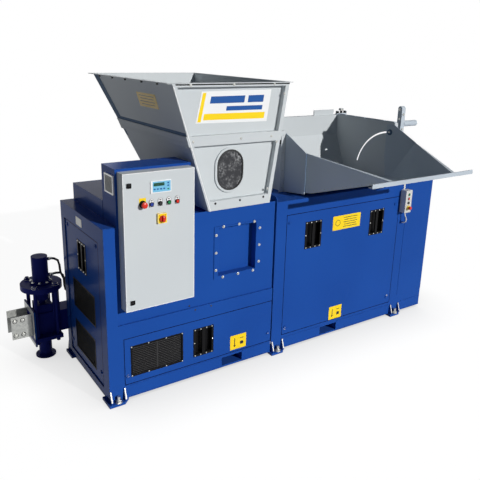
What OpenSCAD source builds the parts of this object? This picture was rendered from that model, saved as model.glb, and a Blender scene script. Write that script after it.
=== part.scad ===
// Briquetting press: a press module and a breaker module on one base line.
// +Z is up, +X runs along the front to the right and +Y points to the back.
// The origin is on the floor, under the front left corner of the press housing.

/* [Modules] */
// Length of the press module
press_l = 1330; // [1280:10:1400]
// Depth of the press module
press_d = 836; // [800:2:880]
// Height of the press housing's roof
press_h = 1234; // [1200:2:1260]
// Length of the breaker module
breaker_l = 1755; // [1740:5:1900]
// Depth of the breaker module
breaker_d = 1000; // [990:5:1080]
// Height of the breaker housing's roof
breaker_h = 1240; // [1236:2:1270]
// Gap between the two modules
module_gap = 8; // [4:1:20]
// Sheet thickness of the housings
sheet = 4; // [3:0.5:5]
// Gap around each lift-off panel
seam = 3; // [2:0.5:6]

/* [Base and feet] */
// Thickness of a foot plate
foot_t = 20; // [15:1:25]
// Height of the base rails
rail_h = 92; // [85:1:100]
// Depth of a base rail's flanges
rail_d = 60; // [50:1:80]
// Wall of the base rails
rail_t = 6; // [5:0.5:8]
// Clear width of a fork pocket
fork_w = 182; // [160:2:200]
// Clear height of a fork pocket
fork_h = 66; // [60:1:70]
// Left edge of the press module's fork pocket
fork_press_x = 880; // [860:5:900]
// Left edge of the fork pocket inside the breaker module
fork_breaker_x = 510; // [480:5:540]
// Length of a foot plate
foot_l = 155; // [140:1:170]
// Depth of a foot plate
foot_d = 135; // [120:1:150]
// How far a foot plate stands out in front
foot_out = 35; // [30:1:45]
// Diameter of a levelling screw
level_d = 24; // [20:2:30]
// Place of the third pair of feet inside the breaker module
foot3_x = 1337; // [1300:1:1400]

/* [Press housing] */
// Height of the ledge between lower frame and front plate
ledge_z = 565; // [550:1:580]
// How far the front plate stands behind the lower frame
ledge_d = 12; // [8:1:20]
// Width of the left corner post beside the lower panel
post_w = 112; // [105:1:118]
// Width of the corner post above the ledge
post_upper_w = 77; // [60:1:85]
// Bottom and top of the lower left service panel
left_panel_z = [121, 461]; // [115:1:470]
// Front edge, back edge, bottom and top of the end panel
end_panel_box = [103, 763, 85, 1122]; // [80:1:1130]
// How deep the end panel is set in
end_inset = 6; // [4:1:10]
// Left end of the rear step box
step_x = 95; // [90:1:100]
// Right end of the rear step box
step_end_x = 700; // [660:5:720]
// Front of the rear step box
step_y = 240; // [236:1:260]
// Height of the rear step box's top
step_h = 1358; // [1330:2:1380]

/* [Control cabinet] */
// Left edge of the cabinet
cab_x = 108; // [104:1:115]
// Width of the cabinet
cab_w = 495; // [480:1:500]
// Bottom edge of the cabinet
cab_z = 684; // [670:1:700]
// Height of the cabinet door
door_h = 900; // [880:1:905]
// How far the cabinet front stands before the housing
cab_out = 70; // [60:1:90]
// Depth of the door tray
door_t = 22; // [18:1:28]
// Wall of the cabinet and door
cab_wall = 2; // [1.5:0.5:3]
// Depth of the cabinet behind the front plate
cab_back = 178; // [150:1:190]
// Right end of the hood
hood_x1 = 620; // [610:1:650]
// Back of the hood
hood_y1 = 232; // [225:1:238]
// Top of the hood
hood_h = 1600; // [1596:1:1640]
// Diameter of the emergency stop mushroom
estop_d = 40; // [35:1:45]
// Distance between the push buttons
button_pitch = 60; // [52:1:64]
// Diameter of the main switch knob
knob_d = 42; // [36:1:46]

/* [Hopper] */
// Height of the hopper's top rim
hopper_top = 2103; // [2080:1:2140]
// Height of the hopper's foot
hopper_z = 1250; // [1245:1:1260]
// Left and right edge of the rim
rim_x = [481, 1403]; // [470:1:1420]
// Back edge of the rim
rim_y = 1350; // [1300:5:1380]
// Left and right edge of the hopper's foot
throat_x = [754, 1269]; // [740:1:1280]
// Sheet thickness of the hopper
hopper_t = 4; // [3:0.5:5]
// Depth of the front wall's folded frame
hopper_frame = 40; // [36:1:44]
// Width of the front wall's side stiles
stile_w = 30; // [24:1:36]
// Bottom and top of the stiffening belt
belt_z = [1700, 1767]; // [1690:1:1780]
// Top of the base strip
base_strip_z = 1318; // [1310:1:1325]
// Width of the rim flange
rim_w = 32; // [25:1:40]
// Width of the oblong window
window_w = 220; // [200:2:230]
// Height of the oblong window
window_h = 292; // [280:2:300]
// Centre of the window along the front
window_x = 940; // [930:1:1000]
// Height of the window's centre
window_z = 1517; // [1510:1:1530]

/* [Press channel] */
// Clear width of the press channel
ram_w = 130; // [120:2:132]
// Clear height of the press channel
ram_h = 150; // [140:2:160]
// Floor of the press channel
channel_z = 215; // [210:1:230]
// Wall of the press channel
channel_t = 10; // [8:1:10]
// Length of the main ram's head
ram_l = 400; // [350:10:420]
// Stroke of the main ram
ram_stroke = 1200; // [1100:10:1200]
// Running clearance of sliding and turning pieces
run_fit = 0.3; // [0.2:0.05:0.5]
// How far the press channel stands out on the left
channel_out = 250; // [230:5:270]
// Outside diameter of the clamp cylinder
clamp_d = 118; // [110:1:126]
// Stroke of the clamp jaw
jaw_stroke = 60; // [50:1:70]

/* [Breaker] */
// Middle of the feed chute inside the breaker module
chute_mid = 862; // [860:1:870]
// Clear length of the chute
chute_l = 1220; // [1200:2:1224]
// Front and back of the chute's side walls
chute_y = [250, 985]; // [245:1:990]
// Top of the chute
chute_top = 1720; // [1700:1:1750]
// Sheet thickness of the chute
chute_t = 5; // [4:0.5:6]
// Width of the chute's outward flanges
chute_flange = 35; // [30:1:40]
// Left and right edge of the right service panel inside the module
right_panel_x = [102, 1339]; // [95:1:1345]
// Bottom and top of the right service panel
right_panel_z = [138, 1127]; // [130:1:1135]
// Height of the rotor shafts
rotor_z = 1040; // [1030:1:1045]
// Distance between the two rotor shafts
rotor_gap = 270; // [265:1:290]
// Radius over the rotor teeth
tooth_r = 150; // [140:1:152]
// Radius of the rotor discs
disc_r = 105; // [95:1:108]
// Distance from disc to disc on one rotor
disc_pitch = 100; // [90:2:110]
// Radius of the transfer screw
screw_r = 80; // [70:1:84]
// Pitch of the transfer screw
screw_pitch = 160; // [140:5:200]

/* [Loading flap] */
// Height of the flap's pivot
pivot_z = 1225; // [1222:1:1228]
// Distance of the flap's pivot from the front
pivot_y = 273; // [270:1:276]
// Radius of the arc slots
arc_r = 410; // [390:1:420]
// Width of the arc slots
arc_w = 14; // [12:0.5:18]
// Angle that the flap swings through
flap_swing = 70; // [60:1:72]
// How far the lip stands out in front
lip_y = 610; // [580:5:620]
// Height of the lip
lip_z = 1460; // [1440:1:1480]
// Length of the trough's floor at the lip
lip_l = 627; // [600:1:660]
// Length of the lip bar
lip_bar_l = 1085; // [1000:5:1200]
// Thickness of the flap's sheet
flap_t = 5; // [4:0.5:6]
// Width of the flange on top of a wing, at the lip
wing_flange = 30; // [20:1:40]

/* [Pendant] */
// Width of the pendant box
pendant_w = 76; // [70:1:80]
// Height of the pendant box
pendant_h = 196; // [180:1:200]
// Depth of the pendant box
pendant_d = 58; // [50:1:62]
// Left side of the pendant box
pendant_x = 2684; // [2682:1:2690]
// Bottom of the pendant box
pendant_z = 990; // [980:1:1000]

/* [Hidden] */
$fn = 48;
eps = 0.01;

// Colours
blue = [0.11, 0.25, 0.55];
grey = [0.80, 0.82, 0.83];
steel = [0.62, 0.64, 0.66];
black = [0.06, 0.06, 0.07];
white = [0.92, 0.92, 0.92];
yellow = [0.95, 0.82, 0.12];
red = [0.80, 0.14, 0.10];
green = [0.10, 0.50, 0.20];

// Base and modules
deck_z = foot_t + rail_h;
breaker_x = press_l + module_gap;
breaker_x1 = breaker_x + breaker_l;
fork_z = foot_t + (rail_h - fork_h) / 2;
fork_t = 5;
level_y = 18;

// Press channel and shaft
channel_gap = 2;
channel_y0 = press_d + channel_gap + channel_t;
channel_y1 = channel_y0 + ram_w;
channel_y = (channel_y0 + channel_y1) / 2;
channel_z1 = channel_z + ram_h;
channel_mid_z = (channel_z + channel_z1) / 2;
throat_y1 = press_d - 6;
ram_x = throat_x[1] - 7;
channel_x1 = ram_x + ram_l + 40;
cylinder_x0 = channel_x1 + 30;
cylinder_r = 72;
cylinder_bore = 52;
piston_l = 50;
funnel_top = channel_z1 + 355;

// Access cover
cover_x = [806, 1209];
cover_z = [741, 1127];
pan_x = [840, 1163];
pan_z = [760, 1118];
pan_depth = 60;
cover_t = 5;

// Cabinet
cab_x1 = cab_x + cab_w;
cab_z1 = cab_z + door_h;
cab_front = -cab_out;
door_back = cab_front + door_t;
door_gap = 0.5;
tub_inset = 12;
estop_x = 236;
estop_z = 1384;
button_x = 296;
button_z = 1378;
holder_w = 30;
holder_h = 50;
switch_x = 364;
switch_z = 1280;
plate_t = 3;

// Grips
grip_w = 167;
grip_h = 220;
grip_lip = 3;
grip_depth = 38;

// Breaker
chute_x0 = breaker_x + chute_mid - chute_l / 2;
chute_x1 = chute_x0 + chute_l;
mid_x = (chute_x0 + chute_x1) / 2;
bend_z = 1535;
chute_low_y = 850;
rotor_y = [560 - rotor_gap / 2, 560 + rotor_gap / 2];
shaft_r = 35;
screw_y = 600;
screw_z = 800;
duct_r = screw_r + 10;
bunker_y = [chute_y[0] + 12, 858];
screw_x0 = throat_x[1] - 90;
bay_x = chute_x1 + chute_t;
foot_wall_z = pivot_z - 45;
corner_cover_x = breaker_x1 - 321;

// Flap
side_gap = 1;
side_x0 = chute_x0 + side_gap;
side_x1 = chute_x1 - side_gap;
hub_r = 34;
hub_room = 16;
slot_gap = 0.5;
pin_r = 15;
knee_z = 1276;
wing_top_z = 1584;
knee_in = 67;
floor_back_y = 240;
floor_back_z = breaker_h + 7;
knob_angle = 87;
knob_y = pivot_y + arc_r * cos(knob_angle);
knob_z = pivot_z + arc_r * sin(knob_angle);
lever_x = bay_x + chute_flange + 35;
lever_w = 45;
lever_top = 1840;

// Clamp
clamp_x = -160;
jaw_l = 120;
jaw_h = 70;
jaw_rest_z = channel_z1 + 4;
head_z = 560;
head_t = 40;
head_r = 150;
plate_x = -channel_out;

// Middle points of the pendant's cable and of the two clamp hoses
CABLE = [[2722, -33, 990], [2722, -33, 980], [2723, -34, 971], [2725, -36, 962], [2727, -39, 953],
  [2730, -42, 944], [2731, -44, 936], [2732, -46, 928], [2732, -47, 920], [2731, -47, 912],
  [2729, -45, 905], [2727, -41, 899], [2724, -34, 894], [2720, -26, 892], [2720, -18, 892]];
HOSE_TOP = [[-93, 913, 775], [-74, 913, 775], [-50, 915, 768], [-20, 925, 745], [-6, 938, 700],
  [0, 946, 640], [20, 952, 590], [60, 956, 560], [110, 950, 540], [150, 918, 528], [168, 882, 521],
  [170, 856, 520], [170, 836, 520]];
HOSE_LOW = [[-93, 913, 650], [-70, 913, 650], [-40, 913, 651], [-10, 914, 646], [8, 916, 625],
  [15, 918, 590], [17, 920, 540], [24, 922, 500], [50, 922, 462], [86, 905, 440], [104, 874, 431],
  [106, 856, 430], [106, 836, 430]];

// A block between two corners
module block(a, b) {
  translate(a) cube(b - a);
}

// Round bars along the three axes
module bar_x(x0, x1, y, z, r) {
  translate([x0, y, z]) rotate([0, 90, 0]) cylinder(h = x1 - x0, r = r);
}

module bar_y(y0, y1, x, z, r) {
  translate([x, y0, z]) rotate([-90, 0, 0]) cylinder(h = y1 - y0, r = r);
}

module bar_z(z0, z1, x, y, r) {
  translate([x, y, z0]) cylinder(h = z1 - z0, r = r);
}

// A profile given in Y and Z, drawn out along X
module profile_x(x0, x1, points) {
  translate([x0, 0, 0]) rotate([90, 0, 90]) linear_extrude(x1 - x0) polygon(points);
}

// A flat sheet: the outline p moved along v to give it thickness
module slab(p, v) {
  k = len(p);
  turn = cross(p[1] - p[0], p[2] - p[0]) * v > 0;
  q = turn ? p : [for (i = [k - 1:-1:0]) p[i]];
  both = concat(q, [for (c = q) c + v]);
  sides = [for (i = [0:k - 1]) [i, i + k, (i + 1) % k + k, (i + 1) % k]];
  polyhedron(both, concat([[for (i = [0:k - 1]) i], [for (i = [k - 1:-1:0]) i + k]], sides));
}

// A round cord along points, with flat ends
function unit(v) = v / norm(v);
function tangent(p, i) = unit(p[min(i + 1, len(p) - 1)] - p[max(i - 1, 0)]);
function ring(p, i, r, sides) =
  let (t = tangent(p, i), s = unit(cross(t, abs(t.z) < 0.9 ? [0, 0, 1] : [0, 1, 0])), u = cross(s, t))
  [for (k = [0:sides - 1]) p[i] + r * (cos(360 * k / sides) * s + sin(360 * k / sides) * u)];

module cord(p, r, sides) {
  rings = [for (i = [0:len(p) - 1]) each ring(p, i, r, sides)];
  skin = [for (i = [0:len(p) - 2], k = [0:sides - 1])
    let (a = i * sides + k, b = i * sides + (k + 1) % sides)
    each [[a, b, b + sides], [a, b + sides, a + sides]]];
  caps = [[for (k = [sides - 1:-1:0]) k], [for (k = [0:sides - 1]) (len(p) - 1) * sides + k]];
  polyhedron(rings, concat(skin, caps));
}

// Quarter-turn lock, facing the front
module lock(x, z) {
  difference() {
    bar_y(-5, eps, x, z, 14);
    block([x - 8, -6, z - 2], [x + 8, -3, z + 2]);
  }
}

// Grip tray facing the front: a lip, a tub and the bar that the fingers take
module grip_tray() {
  half = [grip_w / 2, grip_h / 2];
  rim = 16;
  tub = 3;
  bar = 24;
  difference() {
    union() {
      block([-half.x, -grip_lip, -half.y], [half.x, 0, half.y]);
      block([rim - tub - half.x, 0, rim - tub - half.y], [half.x - rim + tub, grip_depth, half.y - rim + tub]);
    }
    block([rim - half.x, -grip_lip - 1, rim - half.y], [half.x - rim, grip_depth - tub, half.y - rim]);
  }
  block([-bar / 2, -grip_lip, rim - half.y - eps], [bar / 2, 9, half.y - rim + eps]);
}

// The hole that a grip tray needs in its panel
module grip_hole() {
  cut = 12;
  block([cut - grip_w / 2, -1, cut - grip_h / 2], [grip_w / 2 - cut, 60, grip_h / 2 - cut]);
}

// One channel rail along X, open to the inside
module rail(x0, x1, y, open_back) {
  inner = open_back ? [y + rail_t, y + rail_d + 1] : [y - 1, y + rail_d - rail_t];
  difference() {
    block([x0, y, foot_t], [x1, y + rail_d, deck_z]);
    block([x0 - 1, inner[0], foot_t + rail_t], [x1 + 1, inner[1], deck_z - rail_t]);
  }
}

// A foot: plate, and two gussets up to the rail; dir is -1 at the front and 1 at the back
module foot(x, y, dir) {
  y0 = dir < 0 ? y - foot_out : y + foot_out - foot_d;
  difference() {
    block([x, y0, 0], [x + foot_l, y0 + foot_d, foot_t]);
    translate([x + foot_l, dir < 0 ? y0 : y0 + foot_d, -1]) rotate([0, 0, 45])
      translate([-32, -32, 0]) cube([64, 64, foot_t + 2]);
    bar_z(-1, foot_t + 1, x + foot_l * 0.45, y + dir * level_y, level_d / 2 + run_fit);
  }
  for (gx = [15, 115]) {
    translate([x + gx, 0, 0]) rotate([90, 0, 90]) linear_extrude(10)
      polygon([[y, foot_t - eps], [y + dir * 30, foot_t - eps], [y + dir * 30, foot_t + 12],
        [y + dir * 6, foot_t + 85], [y - dir * eps, foot_t + 85]]);
  }
}

// The base of one module: rails, ends, deck and one fork tube right through
module base(x0, x1, depth, fork_x, feet) {
  difference() {
    union() {
      rail(x0, x1, 0, true);
      rail(x0, x1, depth - rail_d, false);
      block([x0, rail_d - eps, foot_t], [x0 + rail_t, depth - rail_d + eps, deck_z]);
      block([x1 - rail_t, rail_d - eps, foot_t], [x1, depth - rail_d + eps, deck_z]);
      block([x0, 0, deck_z - rail_t], [x1, depth, deck_z]);
      block([fork_x - fork_t, 0, fork_z - fork_t], [fork_x + fork_w + fork_t, depth, fork_z + fork_h + fork_t]);
    }
    block([fork_x, -1, fork_z], [fork_x + fork_w, depth + 1, fork_z + fork_h]);
  }
  for (fx = feet) {
    foot(fx, 0, -1);
    foot(fx, depth, 1);
  }
}

foot_xs_press = [-15];
foot_xs_breaker = [breaker_x - 13, breaker_x + foot3_x];

// The press module's base has a notch for the end panel's lower edge
module press_base() {
  e = end_panel_box;
  color(blue) difference() {
    base(sheet, press_l, press_d, fork_press_x, foot_xs_press);
    block([0, e[0], e[2]], [end_inset + sheet + run_fit, e[1], deck_z + 1]);
  }
}

module breaker_base() {
  color(blue) base(breaker_x, breaker_x1, breaker_d, breaker_x + fork_breaker_x, foot_xs_breaker);
}

module levelling_screw(x, y) {
  bar_z(0, foot_t + 45, x, y, level_d / 2);
  translate([x, y, foot_t + run_fit]) cylinder(h = 16, d = level_d * 1.4, $fn = 6);
}

module levelling_screws() {
  color(steel) {
    for (x = foot_xs_press, y = [-level_y, press_d + level_y]) levelling_screw(x + foot_l * 0.45, y);
    for (x = foot_xs_breaker, y = [-level_y, breaker_d + level_y]) levelling_screw(x + foot_l * 0.45, y);
  }
}

// Lower front frame, corner post and the end face around the end panel
module press_frame() {
  e = end_panel_box;
  color(blue) difference() {
    union() {
      block([0, 0, deck_z], [press_l, sheet, ledge_z]);
      block([0, 0, ledge_z - eps], [post_upper_w, sheet, press_h]);
      block([post_upper_w - sheet, 0, ledge_z], [post_upper_w, ledge_d, press_h]);
      block([0, 0, ledge_z - sheet], [press_l, ledge_d + sheet, ledge_z]);
      block([0, 0, 50], [sheet, press_d, press_h]);
      block([press_l - 34, sheet - eps, deck_z], [press_l - 30, 40, ledge_z - eps]);
    }
    block([post_w, -1, left_panel_z[0]], [press_l + 1, sheet + eps, left_panel_z[1]]);
    block([-1, e[0], e[2]], [sheet + 1, e[1], e[3]]);
  }
  // jambs that the end panel rests on, fixed to the end face beside its opening
  jamb_x = end_inset + sheet;
  color(blue) for (side = [0, 1]) {
    y = side == 0 ? e[0] - 10 : e[1] + 2;
    rest_y = side == 0 ? e[0] - 10 : e[1] - 14;
    block([sheet - eps, y, deck_z + 8], [jamb_x + 6, y + 8, e[3] + 40]);
    block([jamb_x, rest_y, deck_z + 8], [jamb_x + 6, rest_y + 24, e[3] + 40]);
  }
}

// Upper front plate, set back behind the lower frame
module front_plate() {
  color(blue) difference() {
    union() {
      block([post_upper_w, ledge_d, ledge_z], [press_l, ledge_d + sheet, press_h]);
      block([hood_x1, ledge_d, press_h - eps], [press_l, ledge_d + sheet, hopper_z]);
    }
    block([cab_x + tub_inset, 0, cab_z + tub_inset], [cab_x1 - tub_inset, 40, press_h + eps]);
    block([pan_x[0] - 6, 0, pan_z[0] - 6], [pan_x[1] + 6, 40, pan_z[1] + 4]);
  }
}

// Bolt heads around the access cover, as places along its edge
cover_bolts = concat(
  [for (x = [881, 1012, 1144], z = [746, 1122.5]) [x, z]],
  [for (z = [807, 937, 1067], x = [822, 1194]) [x, z]]);

module access_cover() {
  y = ledge_d;
  color(blue) {
    difference() {
      union() {
        block([cover_x[0], y - cover_t, cover_z[0]], [cover_x[1], y, cover_z[1]]);
        block([pan_x[0] - 3, y - eps, pan_z[0] - 3], [pan_x[1] + 3, y + pan_depth, pan_z[1] + 1]);
      }
      block([pan_x[0], y - cover_t - 1, pan_z[0]], [pan_x[1], y + pan_depth - 3, pan_z[1] - 2]);
    }
    for (b = cover_bolts) {
      translate([b.x, y - cover_t + eps, b.y]) rotate([90, 0, 0]) cylinder(h = 6, r = 7, $fn = 6);
    }
  }
}

module press_back() {
  color(blue) difference() {
    block([sheet, press_d - sheet, deck_z], [press_l, press_d, press_h - sheet]);
    block([throat_x[0], press_d - 10, channel_z1 - 10], [throat_x[1], press_d + 1, funnel_top]);
  }
}

// Roof of the press housing with the step box over its rear left part
module press_roof() {
  color(blue) {
    difference() {
      block([sheet, ledge_d + sheet, press_h - sheet], [press_l, press_d, press_h]);
      block([throat_x[0], hopper_frame, press_h - 10], [throat_x[1], throat_y1, press_h + 1]);
      block([cab_x + tub_inset, 0, press_h - 10], [cab_x1 - tub_inset, cab_back + 2, press_h + 1]);
    }
    difference() {
      block([step_x, step_y, press_h - eps], [step_end_x, press_d - 19, step_h]);
      block([step_x + sheet, step_y + sheet, press_h - 1],
        [step_end_x - sheet, press_d - 19 - sheet, step_h - sheet]);
    }
  }
}

grille_x = [165, 546];
grille_z = [178, 390];
grille_div = 356;
left_grip_at = [721, 286];

module left_panel() {
  color(blue) {
    difference() {
      block([post_w + seam, 0, left_panel_z[0] + seam], [press_l - 2, sheet, left_panel_z[1] - seam]);
      block([grille_x[0], -1, grille_z[0]], [grille_x[1], sheet + 1, grille_z[1]]);
      translate([left_grip_at.x, 0, left_grip_at.y]) grip_hole();
    }
    lock(post_w + 26, left_panel_z[0] + 59);
    lock(press_l - 29, left_panel_z[0] + 72);
  }
}

// A grille insert: a frame with slats, one section on each side of a divider
module left_grille() {
  slats = 16;
  step = (grille_z[1] - grille_z[0]) / slats;
  color(black) {
    difference() {
      block([grille_x[0] - 8, sheet, grille_z[0] - 8], [grille_x[1] + 8, sheet + 3, grille_z[1] + 8]);
      block([grille_x[0] + 4, 0, grille_z[0] + 4], [grille_div - 5, 20, grille_z[1] - 4]);
      block([grille_div + 5, 0, grille_z[0] + 4], [grille_x[1] - 4, 20, grille_z[1] - 4]);
    }
    for (i = [1:slats - 1]) {
      block([grille_x[0], sheet + 0.5, grille_z[0] + i * step - 2.5],
        [grille_x[1], sheet + 2.5, grille_z[0] + i * step + 2.5]);
    }
  }
}

module left_grip() {
  color(black) translate([left_grip_at.x, 0, left_grip_at.y]) grip_tray();
}

end_grip_at = [435, 920];
mesh_boxes = [[225, 648, 485, 700], [250, 645, 150, 370]];

module end_panel() {
  e = end_panel_box;
  x = end_inset;
  color(blue) {
    difference() {
      block([x, e[0] + seam, e[2] + seam], [x + sheet, e[1] - seam, e[3] - seam]);
      for (m = mesh_boxes) block([x - 1, m[0], m[2]], [x + sheet + 1, m[1], m[3]]);
      translate([x, end_grip_at.x, end_grip_at.y]) rotate([0, 0, -90]) grip_hole();
    }
    for (p = [[155, 175], [735, 167], [160, 1080], [720, 1080]]) {
      translate([x, p.x, p.y]) rotate([0, 0, -90]) lock(0, 0);
    }
  }
}

// Two woven grilles behind the end panel
module end_grilles() {
  x = end_inset + sheet;
  mesh = 24;
  color(black) for (m = mesh_boxes) {
    difference() {
      block([x, m[0] - 8, m[2] - 8], [x + 3, m[1] + 8, m[3] + 8]);
      block([x - 1, m[0] + 2, m[2] + 2], [x + 5, m[1] - 2, m[3] - 2]);
    }
    for (y = [m[0] + mesh:mesh:m[1] - 8]) block([x + 0.5, y - 1.5, m[2]], [x + 2.5, y + 1.5, m[3]]);
    for (z = [m[2] + mesh:mesh:m[3] - 8]) block([x + 0.5, m[0], z - 1.5], [x + 2.5, m[1], z + 1.5]);
  }
}

module end_grip() {
  color(black) translate([end_inset, end_grip_at.x, end_grip_at.y]) rotate([0, 0, -90]) grip_tray();
}

// Hood behind the upper half of the cabinet, open below and to the cabinet
module cabinet_hood() {
  z1 = cab_z1 - tub_inset;
  color(blue) difference() {
    block([step_x, ledge_d, press_h], [hood_x1, hood_y1, hood_h]);
    block([step_x + sheet, ledge_d + sheet, press_h - 1], [hood_x1 - sheet, hood_y1 - sheet, hood_h - sheet]);
    block([cab_x + tub_inset, 0, press_h - 1], [cab_x1 - tub_inset, 40, z1]);
    block([step_x - 1, vent_y[0] + 12, vent_z[0] + 12], [step_x + sheet + 1, vent_y[1] - 12, vent_z[1] - 12]);
  }
}

vent_y = [29, 168];
vent_z = [1435, 1557];

// Filter fan cover: a frame with louvres
module vent_filter() {
  bars = 9;
  step = (vent_z[1] - vent_z[0] - 24) / bars;
  color(white) {
    difference() {
      block([step_x - 9, vent_y[0], vent_z[0]], [step_x, vent_y[1], vent_z[1]]);
      block([step_x - 10, vent_y[0] + 10, vent_z[0] + 10], [step_x - 3, vent_y[1] - 10, vent_z[1] - 10]);
    }
    for (i = [0:bars - 1]) {
      z = vent_z[0] + 12 + (i + 0.5) * step;
      slab([[step_x - 3 + eps, vent_y[0] + 10, z + 4], [step_x - 8, vent_y[0] + 10, z - 3],
        [step_x - 8, vent_y[1] - 10, z - 3], [step_x - 3 + eps, vent_y[1] - 10, z + 4]], [0, 0, 1.5]);
    }
  }
}

hinge_r = 4.5;
hinge_x = cab_x1 + 5;
hinge_y = door_back;
hinge_z = [cab_z + 110, cab_z1 - 150];
hinge_l = 40;

// Half of a hinge: a knuckle and its leaf; y0 and y1 bound the leaf
module knuckle(z, y0, y1) {
  bar_z(z, z + hinge_l, hinge_x, hinge_y, hinge_r);
  block([cab_x1 - eps, y0, z], [hinge_x, y1, z + hinge_l]);
}

// Cabinet body: front part before the housing, tub behind it, mounting plate with its devices
module cabinet_box() {
  y0 = door_back + door_gap;
  w = cab_wall;
  t = tub_inset + 1;
  plate_y = cab_back - 12;
  color(grey) {
    difference() {
      union() {
        block([cab_x, y0, cab_z], [cab_x1, ledge_d, cab_z1]);
        block([cab_x + t, ledge_d - eps, cab_z + t], [cab_x1 - t, cab_back, cab_z1 - t]);
      }
      block([cab_x + w, y0 - 1, cab_z + w], [cab_x1 - w, ledge_d - w, cab_z1 - w]);
      block([cab_x + t + w, 0, cab_z + t + w], [cab_x1 - t - w, cab_back - w, cab_z1 - t - w]);
    }
    for (z = hinge_z) knuckle(z, y0, door_back + 9);
  }
  color(steel) {
    block([cab_x + 40, plate_y, cab_z + 50], [cab_x1 - 40, plate_y + 3, cab_z1 - 50]);
    for (x = [cab_x + 60, cab_x1 - 60], z = [cab_z + 80, cab_z1 - 80]) {
      bar_y(plate_y + 3 - eps, cab_back - w + eps, x, z, 6);
    }
  }
  color(black) for (row = [0:3]) {
    z = cab_z + 120 + row * 180;
    for (i = [0:6 - row]) {
      block([cab_x + 70 + i * 50, plate_y - 60, z], [cab_x + 115 + i * 50, plate_y + eps, z + 85]);
    }
  }
}

// The rectangle that the display needs
display_x = [290, 431];
display_z = [1446, 1523];
door_locks = [[148, 1510], [153, 744]];

module cabinet_door() {
  w = cab_wall;
  color(grey) {
    difference() {
      block([cab_x, cab_front, cab_z], [cab_x1, door_back, cab_z1]);
      block([cab_x + w, cab_front + w, cab_z + w], [cab_x1 - w, door_back + 1, cab_z1 - w]);
      block([display_x[0] + 6, cab_front - 1, display_z[0] + 6], [display_x[1] - 6, cab_front + 3, display_z[1] - 6]);
      for (i = [0:3]) bar_y(cab_front - 1, cab_front + 3, button_x + i * button_pitch, button_z, button_r + 0.4);
      bar_y(cab_front - 1, cab_front + 3, estop_x, estop_z, stem_r + 0.4);
      bar_y(cab_front - 1, cab_front + 3, switch_x, switch_z, knob_stem_r + 0.4);
    }
    for (z = hinge_z) knuckle(z + hinge_l + run_fit, door_back - 8, door_back - eps);
  }
  color(black) for (p = door_locks) difference() {
    block([p.x - 15, cab_front - 5, p.y - 15], [p.x + 15, cab_front + eps, p.y + 15]);
    bar_y(cab_front - 6, cab_front - 3, p.x, p.y, 9);
  }
}

button_r = 10.5;
button_out = 11;
stem_r = 9;
knob_stem_r = 6;

module display() {
  color(grey) {
    block([display_x[0], cab_front - 7, display_z[0]], [display_x[1], cab_front, display_z[1]]);
    block([display_x[0] + 7, cab_front - eps, display_z[0] + 7], [display_x[1] - 7, cab_front + 28, display_z[1] - 7]);
  }
}

// Yellow plate and collar of the stop button, holders of the push buttons, plate of the main switch
module legend_plates() {
  y = cab_front;
  color(yellow) difference() {
    union() {
      block([estop_x - 30, y - plate_t, estop_z - 37], [estop_x + 30, y, estop_z + 37]);
      bar_y(y - 14, y - eps, estop_x, estop_z, 17);
    }
    bar_y(y - 20, y + 1, estop_x, estop_z, stem_r + 0.4);
  }
  color(white) for (i = [0:3]) {
    x = button_x + i * button_pitch;
    difference() {
      union() {
        block([x - holder_w / 2, y - plate_t, button_z - 17], [x + holder_w / 2, y, button_z - 17 + holder_h - holder_w / 2]);
        bar_y(y - plate_t, y, x, button_z - 17 + holder_h - holder_w / 2, holder_w / 2);
        bar_y(y - 6, y, x, button_z, 14);
      }
      bar_y(y - 20, y + 1, x, button_z, button_r + 0.4);
    }
  }
  color(yellow) difference() {
    block([switch_x - 32, y - 15, switch_z - 33], [switch_x + 32, y, switch_z + 33]);
    bar_y(y - 20, y + 1, switch_x, switch_z, knob_stem_r + 0.4);
  }
}

// A mushroom head on its stem, facing the front
module mushroom(x, y, z, r, head, stem_radius, stem_end) {
  translate([x, y, z]) rotate([90, 0, 0]) rotate_extrude() polygon([[0, 0], [r - 3, 0], [r, 3],
    [r, head * 0.55], [r * 0.86, head * 0.82], [r * 0.5, head * 0.96], [0, head]]);
  bar_y(y - eps, stem_end, x, z, stem_radius);
}

module estop() {
  color(red) mushroom(estop_x, cab_front - 26, estop_z, estop_d / 2, 19, stem_r, cab_front + 14);
}

module button(i) {
  bar_y(cab_front - button_out, cab_front + 14, button_x + i * button_pitch, button_z, button_r);
}

module button_blue() {
  color([0.1, 0.2, 0.6]) button(0);
}

module button_black() {
  color(black) button(1);
}

module button_green() {
  color(green) button(2);
}

module button_red() {
  color(red) button(3);
}

module switch_knob() {
  y = cab_front - 15;
  color(red) {
    bar_y(y - 10, y - run_fit, switch_x, switch_z, knob_d / 2);
    bar_y(y - 1, cab_front + 12, switch_x, switch_z, knob_stem_r);
    block([switch_x - 6, y - 24, switch_z - knob_d / 2 + 2], [switch_x + 6, y - 10 + eps, switch_z + knob_d / 2 - 2]);
  }
}

// Hopper edges at a height z, moved inward by i
function down(z) = (hopper_top - z) / (hopper_top - hopper_z);
function hop_left(z, i) = rim_x[0] + (throat_x[0] - rim_x[0]) * down(z) + i;
function hop_right(z, i) = rim_x[1] + (throat_x[1] - rim_x[1]) * down(z) - i;
function hop_back(z, i) = rim_y + (throat_y1 - rim_y) * down(z) - i;

// A trapezoid in the hopper's front, between two heights, as a plate from y0 to y1
module front_field(z0, z1, i, y0, y1) {
  translate([0, y1, 0]) rotate([90, 0, 0]) linear_extrude(y1 - y0) polygon([[hop_left(z0, i), z0],
    [hop_right(z0, i), z0], [hop_right(z1, i), z1], [hop_left(z1, i), z1]]);
}

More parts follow.
